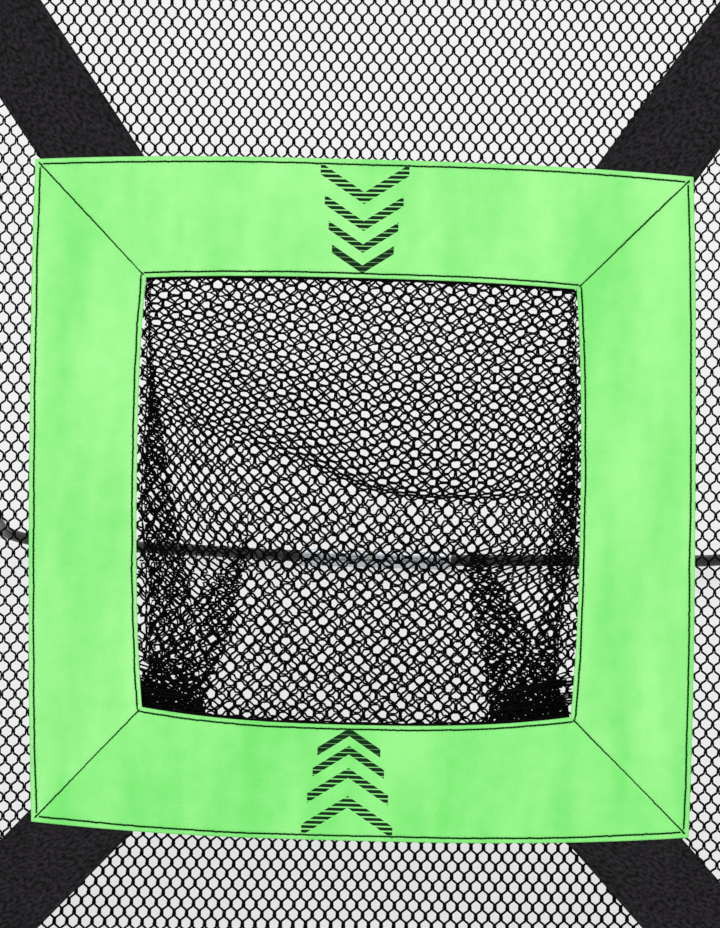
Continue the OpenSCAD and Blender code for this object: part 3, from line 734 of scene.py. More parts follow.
def make_hem(name, start, way, inward, slope, windows, length, cloth, thread_material, seed):
    """A hem along a tube: start is the panel x and v of its first end, way along the tube."""
    start, way, inward = np.array(start), np.array(way), np.array(inward)
    in_slope = np.array([math.cos(slope), math.sin(slope)])
    off_slope = np.array([-in_slope[1], in_slope[0]])
    parts, sewn = [], []

    def shell(section, z0, z1, closed_pucker):
        z = np.linspace(z0, z1, max(3, int((z1 - z0) / (4 * MM))))
        tangent = unit(np.gradient(section, axis=0))
        normal = np.stack([-tangent[:, 1], tangent[:, 0]], 1)
        distance = reach_along(section)
        grids = []
        for sign in (1, -1):
            pucker = closed_pucker * waves(z[None, :], distance[:, None] * 0.3, seed, 16 * MM)
            mid = section[:, None, :] + normal[:, None, :] * (sign * HEM_T / 2 + pucker[..., None])
            place = start + way * z[None, :, None] + inward * mid[..., :1]
            grids.append(on_panel(place[..., 0], mid[..., 1], place[..., 1]))
        uv = np.stack(np.meshgrid(distance, z, indexing="ij"), -1)
        parts.append((*thick_sheet(*grids), both_sides(uv)))

    tail = np.linspace(HEM_END, HEM_INNER, 9)[:, None] * in_slope
    front, back = tail - HEM_LAYER * off_slope, tail + HEM_LAYER * off_slope
    for layer in (front, back):
        shell(layer, 0, length, 0.25 * MM)
    bounds = [0.0]
    for centre, width in windows:
        bounds += [centre - width / 2, centre + width / 2]
    bounds.append(length)
    turn = np.linspace(slope - 0.35, slope - 2 * math.pi + 0.35, 33)
    loop = TUNNEL_R * np.stack([np.cos(turn), np.sin(turn)], 1)
    section = np.concatenate([front[-1:], loop, back[-1:]])
    for z0, z1 in zip(bounds[::2], bounds[1::2]):
        shell(section, z0, z1, 0.3 * MM)
    # Stitch rows near the tunnel and near the tail's end, on both faces.
    z = np.linspace(1 * MM, length - 1 * MM, 150)
    for distance in (HEM_INNER + 1.5 * MM, HEM_END - 3 * MM):
        inner, depth = distance * in_slope
        place = start + way * z[:, None] + inward * inner
        for sign in (-1, 1):
            n = depth + sign * (HEM_LAYER + HEM_T / 2) * in_slope[0]
            path = on_panel(place[:, 0], n, place[:, 1])
            sewn.append(stitches(path, BACK * sign, 1.0 * MM, 0.33 * MM, 3.2 * MM, seed + 7))
    points, faces, uv = join(parts)
    piece = add_mesh(name + "_cloth", points, faces, cloth, uv=uv)
    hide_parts(name)
    tunnel = sum(z1 - z0 for z0, z1 in zip(bounds[::2], bounds[1::2]))
    layers, around = 2 * (HEM_END - HEM_INNER), 2 * math.pi * TUNNEL_R
    layers * length + around * tunnel
    points, faces = join(sewn)
    add_mesh(name + "_stitching", points, faces, thread_material)


# ---- Netting ----

# The rings of one mesh of a strand: how far each is from the mesh's middle, in parts of the row
# pitch, and how far aside and behind it stands from the middle of its double link. The two
# strands part into a small eye above the middle of the link.
LINK_STEPS = np.array([-0.35, -0.16, 0.07, 0.32])
LINK_APART = np.array([0.72, 0.68, 0.42, 0.72]) * MM
LINK_DEPTH = np.array([0.0, 0.0, 0.22, 0.0]) * MM


def strand_lattice(strands, rows):
    """Of every ring: place across in half column pitches, shifts aside and deep, rows along."""
    number, row, step = np.ogrid[:strands, :rows, :len(LINK_STEPS)]
    right = (number + row) % 2
    side = 1.0 - 2.0 * right
    full = np.broadcast_arrays(number + right, side * LINK_APART[step], side * LINK_DEPTH[step],
                               row + LINK_STEPS[step])
    return [a.reshape(strands, -1) for a in full]


def strand_mesh(centre, normal, radius, keep):
    """Points and faces of strands, each four-sided, along centre (strands, rings, 3).

    keep says for each length between two rings whether it is made.
    """
    tangent = unit(np.gradient(centre, axis=1))
    side = unit(np.cross(tangent, normal))
    wide, high = side * radius, np.cross(side, tangent) * radius * 0.85
    corners = np.stack([centre + wide, centre + high, centre - wide, centre - high], 2)
    around = np.pad(keep, ((0, 0), (1, 1)))
    before, after = around[:, :-1], around[:, 1:]
    used = before | after
    start = (np.cumsum(used) - 1).reshape(used.shape) * 4
    here, there = start[:, :-1][keep], start[:, 1:][keep]
    faces = [np.stack([here + k, here + (k + 1) % 4, there + (k + 1) % 4, there + k], 1)
             for k in range(4)]
    faces.append(start[after & ~before][:, None] + [3, 2, 1, 0])
    faces.append(start[before & ~after][:, None] + [0, 1, 2, 3])
    points, faces = corners[used].reshape(-1, 3), np.concatenate(faces)
    return points, outward(points - points.mean(0), faces)


def surface_normals(place, a, b, step):
    """Unit normals, towards the front, of the surface place(a, b) -> world points."""
    return unit(np.cross(place(a + step, b) - place(a - step, b),
                         place(a, b + step) - place(a, b - step)))


NET_FLAT_W = 380 * MM
NET_FLAT_H = 450 * MM
# How far each slope runs in the panel's plane, from the tube to the fold at the flat middle.
TOP_RUN = TOP_V - NET_FLAT_H / 2
BOTTOM_RUN = -BOTTOM_V - NET_FLAT_H / 2
SIDE_RUN = SIDE_X - NET_FLAT_W / 2
NET_INSET = 13 * MM  # of the net's edge, from the tube's centre line into the hem
NET_BLEND = 12 * MM  # depth over which its folds are rounded
# The net's row pitch by v, the tilt of its rows in degrees by v in metres, and how much
# narrower its columns grow for each metre up.
ROW_PITCH = np.array([(-400, 6.65), (-225, 6.65), (-150, 6.6), (0, 6.85), (150, 7.0),
                      (225, 6.9), (250, 6.5), (420, 6.5)]) * MM
ROW_TILT = np.array([(-0.36, 1.0), (0, 0.7), (0.36, -0.5)])
COLUMN_DRIFT = 0.04409171


def rounded_distance(x, v):
    """Distance from the frame tube's centre line, with its corner bends; negative inside."""
    qx = abs(x) - (SIDE_X - BEND_R)
    qv = abs(v - (TOP_V + BOTTOM_V) / 2) - (PANEL_H / 2 - BEND_R)
    outside = np.hypot(np.maximum(qx, 0), np.maximum(qv, 0))
    return outside + np.minimum(np.maximum(qx, qv), 0) - BEND_R


def smooth_min(a, b):
    h = np.clip(0.5 + 0.5 * (b - a) / NET_BLEND, 0, 1)
    return b + (a - b) * h - NET_BLEND * h * (1 - h)


def slope_shares(x, v):
    """How far a place is down each slope, from 0 at the tube to 1 at the flat middle."""
    return {
        "net_slope_top": (TOP_V - v) / TOP_RUN, "net_slope_bottom": (v - BOTTOM_V) / BOTTOM_RUN,
        "net_slope_left": (SIDE_X + x) / SIDE_RUN, "net_slope_right": (SIDE_X - x) / SIDE_RUN,
        "net_middle": np.ones_like(x),
    }


def net_depth(x, v, belly):
    top, bottom, left, right, _ = (share * belly for share in slope_shares(x, v).values())
    depth = smooth_min(smooth_min(smooth_min(top, bottom), np.minimum(left, right)), belly)
    return depth + waves(x, v, 21, 120 * MM) * 2.2 * MM * smooth_step(depth / (40 * MM))


def row_places(low, high):
    """v of each row of meshes, from low up to high."""
    places = [low]
    while places[-1] < high:
        places.append(places[-1] + np.interp(places[-1], *ROW_PITCH.T))
    return np.array(places)


def make_net(material, sizes):
    pitch = sizes.column_pitch
    rows = row_places(BOTTOM_V + 4 * MM, TOP_V - 4 * MM)
    strands = int(4 * SIDE_X / pitch) + 2
    axis, apart, depth, along = strand_lattice(strands, len(rows))
    v = np.interp(along, np.arange(len(rows)), rows) + np.minimum(along, 0) * 6.5 * MM
    x = (axis - strands / 2) * pitch / 2 + apart
    v = v + np.tan(np.radians(np.interp(v, *ROW_TILT.T))) * x
    x = x * (1 - COLUMN_DRIFT * v)

    def place(a, b):
        return on_panel(a, net_depth(a, b, sizes.belly), b)

    normal = surface_normals(place, x, v, 0.5 * MM)
    centre = place(x, v) + normal * depth[..., None]
    mid_x, mid_v = (x[:, 1:] + x[:, :-1]) / 2, (v[:, 1:] + v[:, :-1]) / 2
    inside = rounded_distance(mid_x, mid_v) < -NET_INSET
    shares = slope_shares(mid_x, mid_v)
    nearest = np.argmin(np.stack(list(shares.values())), axis=0)
    radius = (sizes.thread_radius * (1 - 0.22 * v / PANEL_H))[..., None]
    for number, name in enumerate(shares):
        points, faces = strand_mesh(centre, normal, radius, inside & (nearest == number))
        piece = add_mesh(name + "_mesh", points, faces, material)
        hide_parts(name)


# ---- Ball pocket ----

# The pocket's middle line from the opening's top edge, down the back and up the trough:
# panel v and depth behind the panel.
POCKET_LINE = np.array([(157, 1.9), (150, 3.5), (84, 52), (66, 57), (30, 59.5), (-40, 60.5),
                        (-120, 60), (-148, 55), (-168, 44), (-180, 28), (-177, 12),
                        (-166, 4), (-157, 1.9)]) * MM
# Each side's folds, as (panel v, distance from the middle) down the opening: where the gather
# beside the rim starts and ends, and where the lower fold starts and ends.
FOLDS = {
    -1: {"gather_out": [(141, 154.5), (64, 152), (20, 152.5), (-8, 154), (-40, 153.5),
                        (-72, 149), (-128, 146.5), (-141, 152)],
         "gather_in": [(142, 149.6), (107, 149.4), (65, 146.5), (37, 143.7), (8, 139.7),
                       (-20, 134.5), (-48, 126.5), (-76, 118.7), (-105, 115.7), (-133, 109.9),
                       (-154, 105.7)],
         "fold_out": [(-36, 80.7), (-50, 86), (-62, 92.6), (-76, 106), (-91, 120),
                      (-105, 124), (-134, 126)],
         "fold_in": [(-36, 80.7), (-61, 79.5), (-75, 81.9), (-90, 85.8), (-104, 89.7),
                     (-118, 94.9), (-133, 103), (-147, 106)]},
    1: {"gather_out": [(150, 146.2), (108, 147.6), (38, 151), (3, 151.3), (-32, 150.8),
                       (-67, 144.8), (-96, 141), (-124, 142), (-137, 146), (-146, 151)],
        "gather_in": [(150, 142.4), (122, 141.8), (80, 141.7), (52, 139.8), (23, 138.3),
                      (-5, 134.9), (-34, 132.3), (-62, 131), (-91, 126.9), (-105, 122.3),
                      (-127, 102.9)],
        "fold_out": [(-32, 82), (-49, 92.7), (-63, 105.9), (-77, 113.4), (-91, 121.8),
                     (-105, 125.2)],
        "fold_in": [(-32, 82), (-50, 75.4), (-64, 77.3), (-78, 80.5), (-92, 82.3), (-106, 86.2),
                    (-120, 90.1), (-134, 91.8), (-148, 93.7)]},
}
# A slack line across the back, which the mesh hangs along, and a crease above it on the left:
# panel x and v.
SWAG = np.array([(-150, 56), (-115.4, 48.3), (-79.7, 38.6), (-45.8, 27.4), (-18.3, 14.6),
                 (7, 5.3), (42.9, 0.6), (85.7, 1.8), (131.7, 5.3), (150, 6)]) * MM
CREASE = np.array([(-151, 150), (-126.8, 145.7), (-98.8, 138.4), (-74.2, 131.7), (-40, 126)]) * MM
ROW_GAP_HIGH = 7.45 * MM  # across the cloth, from one row of the pocket's mesh to the next
ROW_GAP_LOW = 6.5 * MM
GATHER_CELL = 15  # mesh rows from the middle to where the pieces of the gathers start


def smoothed(row, window, **beyond):
    """A row of values, each replaced by the weighed mean of those round it."""
    return np.convolve(np.pad(row, len(window) // 2, **beyond), window / window.sum(), mode="valid")


def pocket_line():
    """The middle line, rounded, as v, depth and the count of strands from the top."""
    reach = reach_along(POCKET_LINE)
    fine = np.arange(0, reach[-1], 0.5 * MM)
    v, n = (smoothed(np.interp(fine, reach, line), np.hanning(25), mode="edge")
            for line in POCKET_LINE.T)
    pitch = np.interp(-v, [-0.16, -0.03, 0.02, 0.16], [6.3 * MM, 6.4 * MM, 8.2 * MM, 8.4 * MM])
    drop = np.abs(np.gradient(v))
    run = np.hypot(np.gradient(v), np.gradient(n))
    travel = np.where(v < -0.150, run, np.maximum(drop, 0.45 * run))
    count = np.cumsum(travel / pitch)
    return v, n, count - count[0]


class PocketSide:
    """One half of the pocket's cloth: where a distance along it from the middle lies."""

    SLICES = 4  # places along the middle line for each section that is worked out
    STEP = 0.5 * MM  # along a section
    REACH = 0.62  # how long a section can be
    FRONT_N = 1.9 * MM  # depth of the rim
    # Knots of a section: from the middle to the lower fold, from there to the gather's outside,
    # and the first inside the gather, where the cloth turns.
    BACK_KNOTS = 7
    SIDE_KNOTS = 10
    TURN_KNOT = BACK_KNOTS + SIDE_KNOTS
    NARROWED = 1.2  # mesh that lies in the gather, for each length of its cloth
    DRAWN = 0.8  # the most that is added to it beside the gather
    DRAWN_FROM = {-1: 75 * MM, 1: 92 * MM}
    LOOSE = {-1: 0.4, 1: 0.85}  # how far the gather's first fold is let out above

    def __init__(self, side, line_v, line_n):
        v, n = line_v[::self.SLICES], line_n[::self.SLICES]
        low = np.minimum.accumulate(v)
        x, depth = self.section(side, low, n)
        steps = np.hypot(np.diff(x, axis=1), np.diff(depth, axis=1))
        steps[:, self.TURN_KNOT - 1:] *= self.NARROWED
        # Beside the gather the mesh is drawn together more and more.
        drawn = smooth_step((0.105 - low) / 0.09) * (1 - 0.7 * smooth_step((-0.04 - low) / 0.05))
        place = (x[:, self.BACK_KNOTS + 1:self.TURN_KNOT] - self.DRAWN_FROM[side]) / (60 * MM)
        steps[:, self.BACK_KNOTS:self.TURN_KNOT - 1] *= (
            1 + self.DRAWN * drawn[:, None] * smooth_step(place))
        arc = np.pad(np.cumsum(steps, axis=1), ((0, 0), (1, 0)))
        self.total = arc[:, -1]
        self.arcs = np.arange(0, self.REACH, self.STEP)
        x, depth = (np.stack([np.interp(self.arcs, one, line) for one, line in zip(arc, grid)])
                    for grid in (x, depth))
        x = x + np.maximum(self.arcs - self.total[:, None], 0)
        self.x, self.n = (np.stack([smoothed(row, np.hanning(11)[1:-1], mode="reflect",
                                             reflect_type="odd") for row in grid])
                          for grid in (x, depth))
        before_turn, turn = arc[:, self.TURN_KNOT - 1, None], arc[:, self.TURN_KNOT, None]
        lift = smooth_step((self.arcs - turn) / np.maximum(self.total[:, None] - turn, MM))
        v = v[:, None]
        folded = smooth_step((self.arcs - before_turn) / (30 * MM))
        shift = waves(self.arcs, v, 61 + side, 34 * MM) * 2.4 * MM * folded
        self.v = v + shift + (np.clip(v, -0.1575, 0.156) - v) * lift

    def section(self, side, low, n):
        """x and depth of the knots of every section, from the middle out to the rim."""
        outer, inner, fold_out, fold_in = (
            np.interp(low, *np.array(FOLDS[side][name][::-1]).T * MM)
            for name in ("gather_out", "gather_in", "fold_out", "fold_in"))
        fold_out = np.minimum(fold_out, inner + 1 * MM)
        rim = np.interp(low, [-0.157, -0.08, 0, 0.08, 0.157], [0.15, 0.154, 0.1555, 0.1555, 0.152])
        edge = np.interp(low, [-0.13, -0.02, 0.1], [0.72, 0.6, 0.34]) * n
        loose = self.LOOSE[side] * smooth_step((low + 0.01) / 0.13)
        near = outer - np.minimum(outer - inner, 3.6 * MM) * (1 - loose)
        reach = outer - np.minimum(inner, fold_in)
        deep, deepest = (outer - reach * smooth_step((start - low) / height)
                         for start, height in ((-0.115, 0.022), (-0.133, 0.012)))
        knots = [(fold_out * s, n - (n - edge) * (fold_out * s / inner) ** 2)
                 for s in np.linspace(0, 1, self.BACK_KNOTS)]
        first, last = knots[-1][1] * 0.94, edge * 0.85
        knots += [(fold_in + (outer - fold_in) * s, first + (last - first) * s)
                  for s in np.linspace(0, 1, self.SIDE_KNOTS)]
        knots.append((inner, edge * 0.66))
        layers = [outer, near, outer, deep, outer, deepest, outer, deepest, outer]
        knots += [(x, n * share) for x, share in zip(layers, np.linspace(0.32, 0.06, len(layers)))]
        knots.append((rim, np.maximum(n * 0.03, self.FRONT_N)))
        return [np.stack(part, 1) for part in zip(*knots)]

    def at(self, arc, index):
        """x, v and depth for arcs along the cloth and places along the middle line."""
        i = np.clip(index / self.SLICES, 0, len(self.total) - 1.001)
        j = np.clip(arc / self.STEP, 0, len(self.arcs) - 1.001)
        i0, j0 = i.astype(int), j.astype(int)
        fi, fj = i - i0, j - j0
        found = []
        for grid in (self.x, self.v, self.n):
            low = grid[i0, j0] * (1 - fj) + grid[i0, j0 + 1] * fj
            high = grid[i0 + 1, j0] * (1 - fj) + grid[i0 + 1, j0 + 1] * fj
            found.append(low * (1 - fi) + high * fi)
        return found

    def reach(self, index):
        return np.interp(index / self.SLICES, np.arange(len(self.total)), self.total)


def bunch(v, line, width, share):
    """Shift of v that draws the mesh together along a line."""
    t = (v - line) / width
    return -share * width * t * np.exp(-t * t / 2)


def hang(x, v):
    """v once the mesh is laid along the slack line, flattened there and creased above."""
    line = np.interp(x, *SWAG.T)
    sag = line - 1.0 * MM
    room = np.where(v > 0, np.clip((0.15 - v) / 0.15, 0, 1), np.clip((v + 0.155) / 0.155, 0, 1))
    v = v + 0.55 * sag * smooth_step(room)
    strong = np.interp(x, np.array([-140, -60, 0, 60, 100, 140]) * MM, [0.2, 0.4, 0.9, 1, 0.8, 0.3])
    v = v + bunch(v, line + 14 * MM, 18 * MM, strong * 0.35)
    v = v + bunch(v, line + 2 * MM, 9 * MM, strong * 0.76)
    v = v + bunch(v, line - 0.5 * MM, 3.5 * MM, strong * 0.42)
    v = v + bunch(v, 0.1535, 4 * MM, 0.75) + bunch(v, -0.152, 4 * MM, 0.75)
    fade = smooth_step((-0.06 - x) / 0.03)
    return v + bunch(v, np.interp(x, *CREASE.T), 3.5 * MM, 0.75 * fade)


def make_pocket(material, sizes):
    line_v, line_n, line_count = pocket_line()
    places = np.arange(len(line_v))
    sides = {side: PocketSide(side, line_v, line_n) for side in (-1, 1)}
    half = sizes.pocket_half_cells
    strands = int(2 * line_count[-1]) - 1
    axis, apart, depth, along = strand_lattice(strands, 2 * half + 1)

    def row_gap(index):
        v = np.interp(index, places, line_v)
        return ROW_GAP_HIGH + (ROW_GAP_LOW - ROW_GAP_HIGH) * smooth_step((0.04 - v) / 0.1)

    def place(a, b):
        """a: half periods from the middle, b: strand count from the top."""
        index = np.interp(b, line_count, places)
        arc = np.abs(a) * row_gap(index)
        left, right = (sides[side].at(arc, index) for side in (-1, 1))
        x, v, n = (np.where(a < 0, one, other) for one, other in zip(left, right))
        x = np.where(a < 0, -x, x)
        open_part = smooth_step((0.156 - v) / 0.02) * smooth_step((v + 0.157) / 0.02)
        v = v + (hang(x, v) - v) * open_part
        ripple = waves(x, v, 33, 70 * MM) * 1.6 * MM * smooth_step(n / 0.03)
        return on_panel(x, np.maximum(n + ripple, 1.7 * MM), v)

    b = axis / 2 + apart / (8 * MM)
    across = along - half + np.random.default_rng(5).normal(0, 0.05, along.shape)
    normal = surface_normals(place, across, b, 0.05)
    centre = place(across, b) + normal * depth[..., None]
    middle = (across[:, 1:] + across[:, :-1]) / 2
    index = np.interp((b[:, 1:] + b[:, :-1]) / 2, line_count, places)
    limit = np.where(middle < 0, *(sides[side].reach(index) for side in (-1, 1)))
    kept = np.abs(middle) * row_gap(index) < limit
    ring_index = np.interp(b, line_count, places)
    ring_v = np.interp(ring_index, places, line_v)
    # The thread is a little thicker low down, and drawn thin in the gathers, most of all above.
    tight = smooth_step((np.abs(across) * row_gap(ring_index) - 135 * MM) / (30 * MM))
    tight = tight * (0.06 + 0.17 * smooth_step((ring_v - 0.02) / 0.08))
    radius = (sizes.pocket_thread_radius * (1 + 0.07 * smooth_step((0.06 - ring_v) / 0.08))
              * (1 - tight))
    pieces = {"ball_pocket_mesh": np.abs(middle) < GATHER_CELL,
              "ball_pocket_left_gather": middle <= -GATHER_CELL,
              "ball_pocket_right_gather": middle >= GATHER_CELL}
    for name, part in pieces.items():
        points, faces = strand_mesh(centre, normal, radius[..., None], kept & part)
        piece = add_mesh(name, points, faces, material)
        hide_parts("ball_pocket")
        flat = (0.20, 0.40) if name == "ball_pocket_mesh" else (0.16, 0.40)
        flat[0] * flat[1] * 0.70


def make_pocket_edge(material, sizes):
    """The pocket's gathered edge, as a few threads along the seam behind the opening's edge."""
    paths = []
    for name in ("target_band_top", "target_band_bottom"):
        x, v = BANDS[name].point(np.linspace(0.004, 0.996, 260), 1.0)
        inward = -1 if name.endswith("top") else 1
        for number in range(4):
            swing = waves(x, v, 90 + number, 14 * MM) * 0.7 * MM
            paths.append(on_panel(x, 1.8 * MM + number * 0.5 * MM,
                                  v + inward * ((number - 0.8) * 0.55 * MM + swing)))
    centre = np.stack(paths)
    normal = np.broadcast_to(-BACK, centre.shape)
    keep = np.ones((len(paths), centre.shape[1] - 1), bool)
    points, faces = strand_mesh(centre, normal, sizes.pocket_thread_radius, keep)
    piece = add_mesh("ball_pocket_edge", points, faces, material)
    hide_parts("ball_pocket")


# ---- Camera, light and floor ----

VIEW_H = 647.7 * MM  # of the panel, seen from top to bottom
VIEW_DISTANCE = 2.4
VIEW_X, VIEW_V = -0.66 * MM, 23.7 * MM  # where the camera aims
VIEW_ASIDE = 74 * MM  # of the camera from there
VIEW_ROLL = math.radians(1.6)
SENSOR = 36.0
FLOOR_GLOW = 0.62


def make_camera():
    """A camera square to the panel's slope, a little to the right of its middle."""
    data = bpy.data.cameras.new("camera")
    data.sensor_width = SENSOR
    data.lens = SENSOR * VIEW_DISTANCE / VIEW_H
    data.clip_start, data.clip_end = 0.05, 60.0
    camera = bpy.data.objects.new("camera", data)
    bpy.context.scene.collection.objects.link(camera)
    place = on_panel(VIEW_X + VIEW_ASIDE, -VIEW_DISTANCE, VIEW_V)
    ahead = unit(on_panel(VIEW_X, 0, VIEW_V) - place)
    right = unit(np.cross(ahead, UP)) * math.cos(VIEW_ROLL) + UP * math.sin(VIEW_ROLL)
    up = np.cross(right, ahead)
    turn = Matrix([[right[i], up[i], -ahead[i]] for i in range(3)]).to_4x4()
    camera.matrix_world = Matrix.Translation(Vector(place)) @ turn
    bpy.context.scene.camera = camera


def add_lamp(name, place, aim, size, power):
    data = bpy.data.lights.new(name, "AREA")
    data.shape = "DISK"
    data.size = size
    data.energy = power
    lamp = bpy.data.objects.new(name, data)
    lamp.location = place
    lamp.rotation_euler = (Vector(aim) - Vector(place)).to_track_quat("-Z", "Y").to_euler()
    bpy.context.scene.collection.objects.link(lamp)


def floor_finish(colour):
    """A pale floor that is seen near white and keeps the object's shadow."""
    finish = Finish("studio_floor", roughness=0.9, specular_ior_level=0.1)
    grain = finish.noise(finish.place(), 60, 2.0)
    finish.set("Base Color", finish.mix(grain, shade(colour, 0.985), shade(colour, 1.0)))
    glow = finish.node("ShaderNodeEmission")
    finish.blend(finish.seen_directly() * FLOOR_GLOW, finish.surface, glow, "Material Output")
    return finish.material


def make_floor(colour):
    bpy.ops.object.select_all(action="DESELECT")
    bpy.ops.mesh.primitive_plane_add(size=16.0, location=(0, 0, 0))
    floor = bpy.context.object
    floor.name = "studio_floor"
    floor.data.materials.append(floor_finish(colour))


def make_world():
    """An even pale light, and the floor's far tone where the sky is seen directly."""
    world = bpy.data.worlds.new("studio")
    shading = Shading(world)
    sky = shading.tree.nodes["Background"]
    shading.fill(sky, {"Color": (0.96, 0.97, 1.0, 1.0), "Strength": 0.55})
    seen = shading.node("ShaderNodeBackground", sockets={"Color": (0.79, 0.79, 0.795, 1.0)})
    shading.blend(shading.seen_directly(), sky, seen, "World Output")
    bpy.context.scene.world = world


# ---- Operators ----


def settings():
    scene = bpy.context.scene
    return scene.net_target, scene.net_sizes, scene.net_colours


class OBJECT_OT_net_target(bpy.types.Operator):
    """Sew the four bands of the target, with their print and topstitching"""
    bl_idname = "object.net_target"
    bl_label = "Target bands"

    def execute(self, context):
        sizes, _, colours = settings()
        for name, band in BANDS.items():
            chevrons = [tuple(v * MM for v in row[:4]) + row[4:]
                        for row in CHEVRON_ROWS.get(name, [])]
            # The band's painted shade darkens its cloth colour.
            tone = BAND_PAINTED_SHADE.get(name, (1.0, 1.0, 1.0))
            cloth = target_cloth(name + "_finish", [c * k for c, k in zip(colours.target, tone)],
                                 colours.ink, chevrons)
            make_band(name, band, cloth, sizes)
        make_target_stitches(thread("target_thread", colours.target_thread), sizes)
        return {"FINISHED"}


class OBJECT_OT_net_straps(bpy.types.Operator):
    """Run the four corner straps from the target to the frame"""
    bl_idname = "object.net_straps"
    bl_label = "Corner straps"

    def execute(self, context):
        _, _, colours = settings()
        cloth = dark_cloth("strap_cloth", colours.strap)
        sewing = thread("strap_thread", colours.strap)
        for side, across in ((-1, "left"), (1, "right")):
            for end, height in ((1, "top"), (-1, "bottom")):
                make_strap(side, end, f"corner_strap_{height}_{across}", cloth, sewing)
        return {"FINISHED"}


class OBJECT_OT_net_hems(bpy.types.Operator):
    """Fold the four hems that hold the net round the frame"""
    bl_idname = "object.net_hems"
    bl_label = "Net hems"

    def execute(self, context):
        _, sizes, colours = settings()
        cloth = dark_cloth("hem_cloth_finish", colours.strap)
        sewing = thread("hem_thread", colours.strap)
        half = SIDE_X - CORNER_ROOM
        low, high = BOTTOM_V + CORNER_ROOM, TOP_V - CORNER_ROOM
        foot_x = middle_of("front_foot_right")[0]
        top, bottom, side = (math.atan2(sizes.belly, run)
                             for run in (TOP_RUN, BOTTOM_RUN, SIDE_RUN))
        sleeve = (half, SLEEVE_WINDOW)
        feet = [(half + x, SMALL_WINDOW) for x in (-foot_x, foot_x)]
        make_hem("net_hem_top", (-half, TOP_V), (1, 0), (0, -1), top, [sleeve], 2 * half,
                 cloth, sewing, 71)
        make_hem("net_hem_bottom", (-half, BOTTOM_V), (1, 0), (0, 1), bottom,
                 [feet[0], sleeve, feet[1]], 2 * half, cloth, sewing, 72)
        for sign, name in ((-1, "net_hem_left"), (1, "net_hem_right")):
            make_hem(name, (sign * SIDE_X, low), (0, 1), (-sign, 0), side,
                     [(HINGE_V - low, SMALL_WINDOW)], high - low, cloth, sewing, 73 + sign)
        return {"FINISHED"}


class OBJECT_OT_net_backstop(bpy.types.Operator):
    """Knit the slack net that closes the frame behind the target"""
    bl_idname = "object.net_backstop"
    bl_label = "Backstop net"

    def execute(self, context):
        _, sizes, colours = settings()
        make_net(thread("net_thread", colours.net), sizes)
        return {"FINISHED"}


class OBJECT_OT_net_pocket(bpy.types.Operator):
    """Knit and gather the ball pocket behind the opening"""
    bl_idname = "object.net_pocket"
    bl_label = "Ball pocket"

    def execute(self, context):
        _, sizes, colours = settings()
        yarn = thread("pocket_thread", colours.net)
        make_pocket(yarn, sizes)
        make_pocket_edge(yarn, sizes)
        return {"FINISHED"}


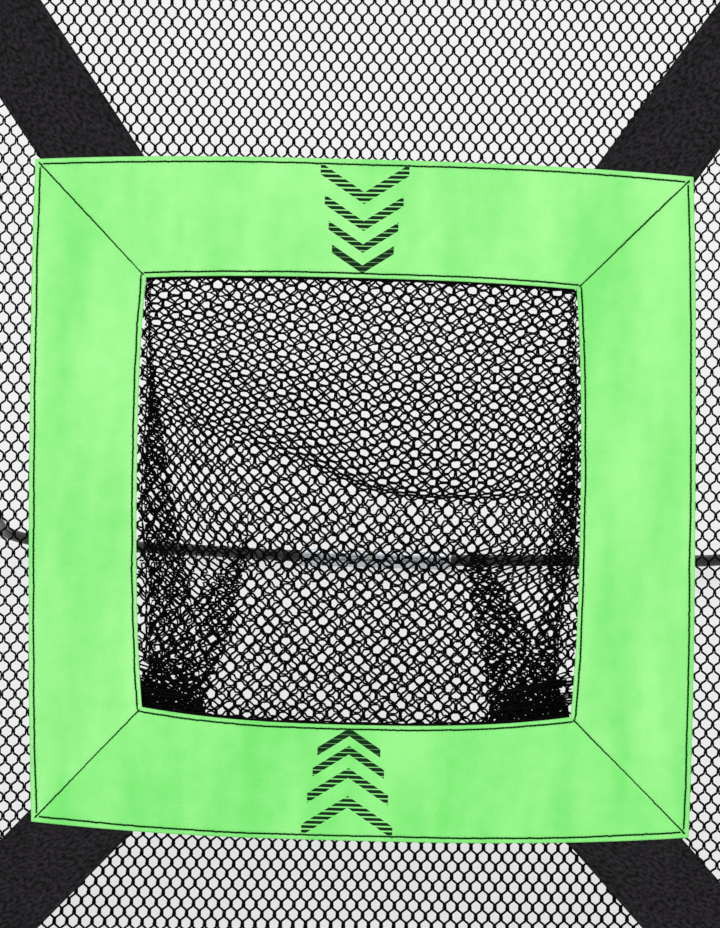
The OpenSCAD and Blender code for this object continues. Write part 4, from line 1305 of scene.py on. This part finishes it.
class OBJECT_OT_net_frame(bpy.types.Operator):
    """Finish the frame, the stand, the hinges and the feet"""
    bl_idname = "object.net_frame"
    bl_label = "Frame and stand"

    def execute(self, context):
        _, _, colours = settings()
        black = powder_coat("powder_coat", colours.frame)
        steel = drawn_metal("drawn_steel", (0.55, 0.61, 0.66), 0.22)
        zinc = drawn_metal("zinc_plate", (0.62, 0.63, 0.62), 0.34, (300.0, 300.0, 300.0))
        finishes = {
            "frame_tube": black, "leg_tube": black, "hinge_bracket": black,
            "top_sleeve": steel, "bottom_sleeve": steel, "bar_sleeve": steel,
            "bracket_rivets": zinc, "hinge_bolts": zinc, "hinge_nuts": zinc, "stop_pins": zinc,
            "hinge_washers": moulded("nylon_washer", (0.78, 0.76, 0.7), 0.45),
            "leg_plugs": moulded("black_plastic_plug", (0.02, 0.02, 0.021), 0.4),
            "front_foot": moulded("foot_rubber", (0.025, 0.025, 0.026), 0.75),
            "rear_foot": moulded("rear_foot_rubber", (0.025, 0.025, 0.026), 0.75),
        }
        for name, node in frame["nodes"].items():
            for start, material in finishes.items():
                if name.startswith(start):
                    for slot in node.material_slots:
                        slot.material = material
        return {"FINISHED"}


class OBJECT_OT_net_stage(bpy.types.Operator):
    """Set up the camera, the floor and the light"""
    bl_idname = "object.net_stage"
    bl_label = "Stage"

    def execute(self, context):
        _, _, colours = settings()
        make_camera()
        make_floor(colours.floor)
        make_world()
        add_lamp("key", (-1.6, -2.2, 3.0), (0, 0, 0.3), 3.4, 54)
        add_lamp("fill", (2.2, -1.8, 2.2), (0, 0, 0.3), 3.4, 34)
        add_lamp("back", (0.4, 2.6, 2.6), (0, 0.2, 0.2), 3.0, 22)
        return {"FINISHED"}


class VIEW3D_PT_chipping_net(bpy.types.Panel):
    bl_label = "Chipping net"
    bl_space_type = "VIEW_3D"
    bl_region_type = "UI"
    bl_category = "Chipping net"

    def draw(self, context):
        for group in settings():
            for name in group.bl_rna.properties.keys():
                if name not in {"rna_type", "name"}:
                    self.layout.prop(group, name)
        for step in STEPS:
            self.layout.operator(step.bl_idname)


STEPS = (OBJECT_OT_net_frame, OBJECT_OT_net_target, OBJECT_OT_net_straps, OBJECT_OT_net_hems,
         OBJECT_OT_net_backstop, OBJECT_OT_net_pocket, OBJECT_OT_net_stage)
GROUPS = (TargetSizes, NetSizes, FinishColours)
CLASSES = GROUPS + STEPS + (VIEW3D_PT_chipping_net,)


def register():
    for cls in CLASSES:
        bpy.utils.register_class(cls)
    bpy.types.Scene.net_target = PointerProperty(type=TargetSizes)
    bpy.types.Scene.net_sizes = PointerProperty(type=NetSizes)
    bpy.types.Scene.net_colours = PointerProperty(type=FinishColours)


def unregister():
    for name in ("net_target", "net_sizes", "net_colours"):
        delattr(bpy.types.Scene, name)
    for cls in reversed(CLASSES):
        bpy.utils.unregister_class(cls)


def main():
    register()
    bpy.context.scene.view_settings.view_transform = "Standard"
    for step in STEPS:
        group, name = step.bl_idname.split(".")
        getattr(getattr(bpy.ops, group), name)()


if __name__ == "__main__":
    main()
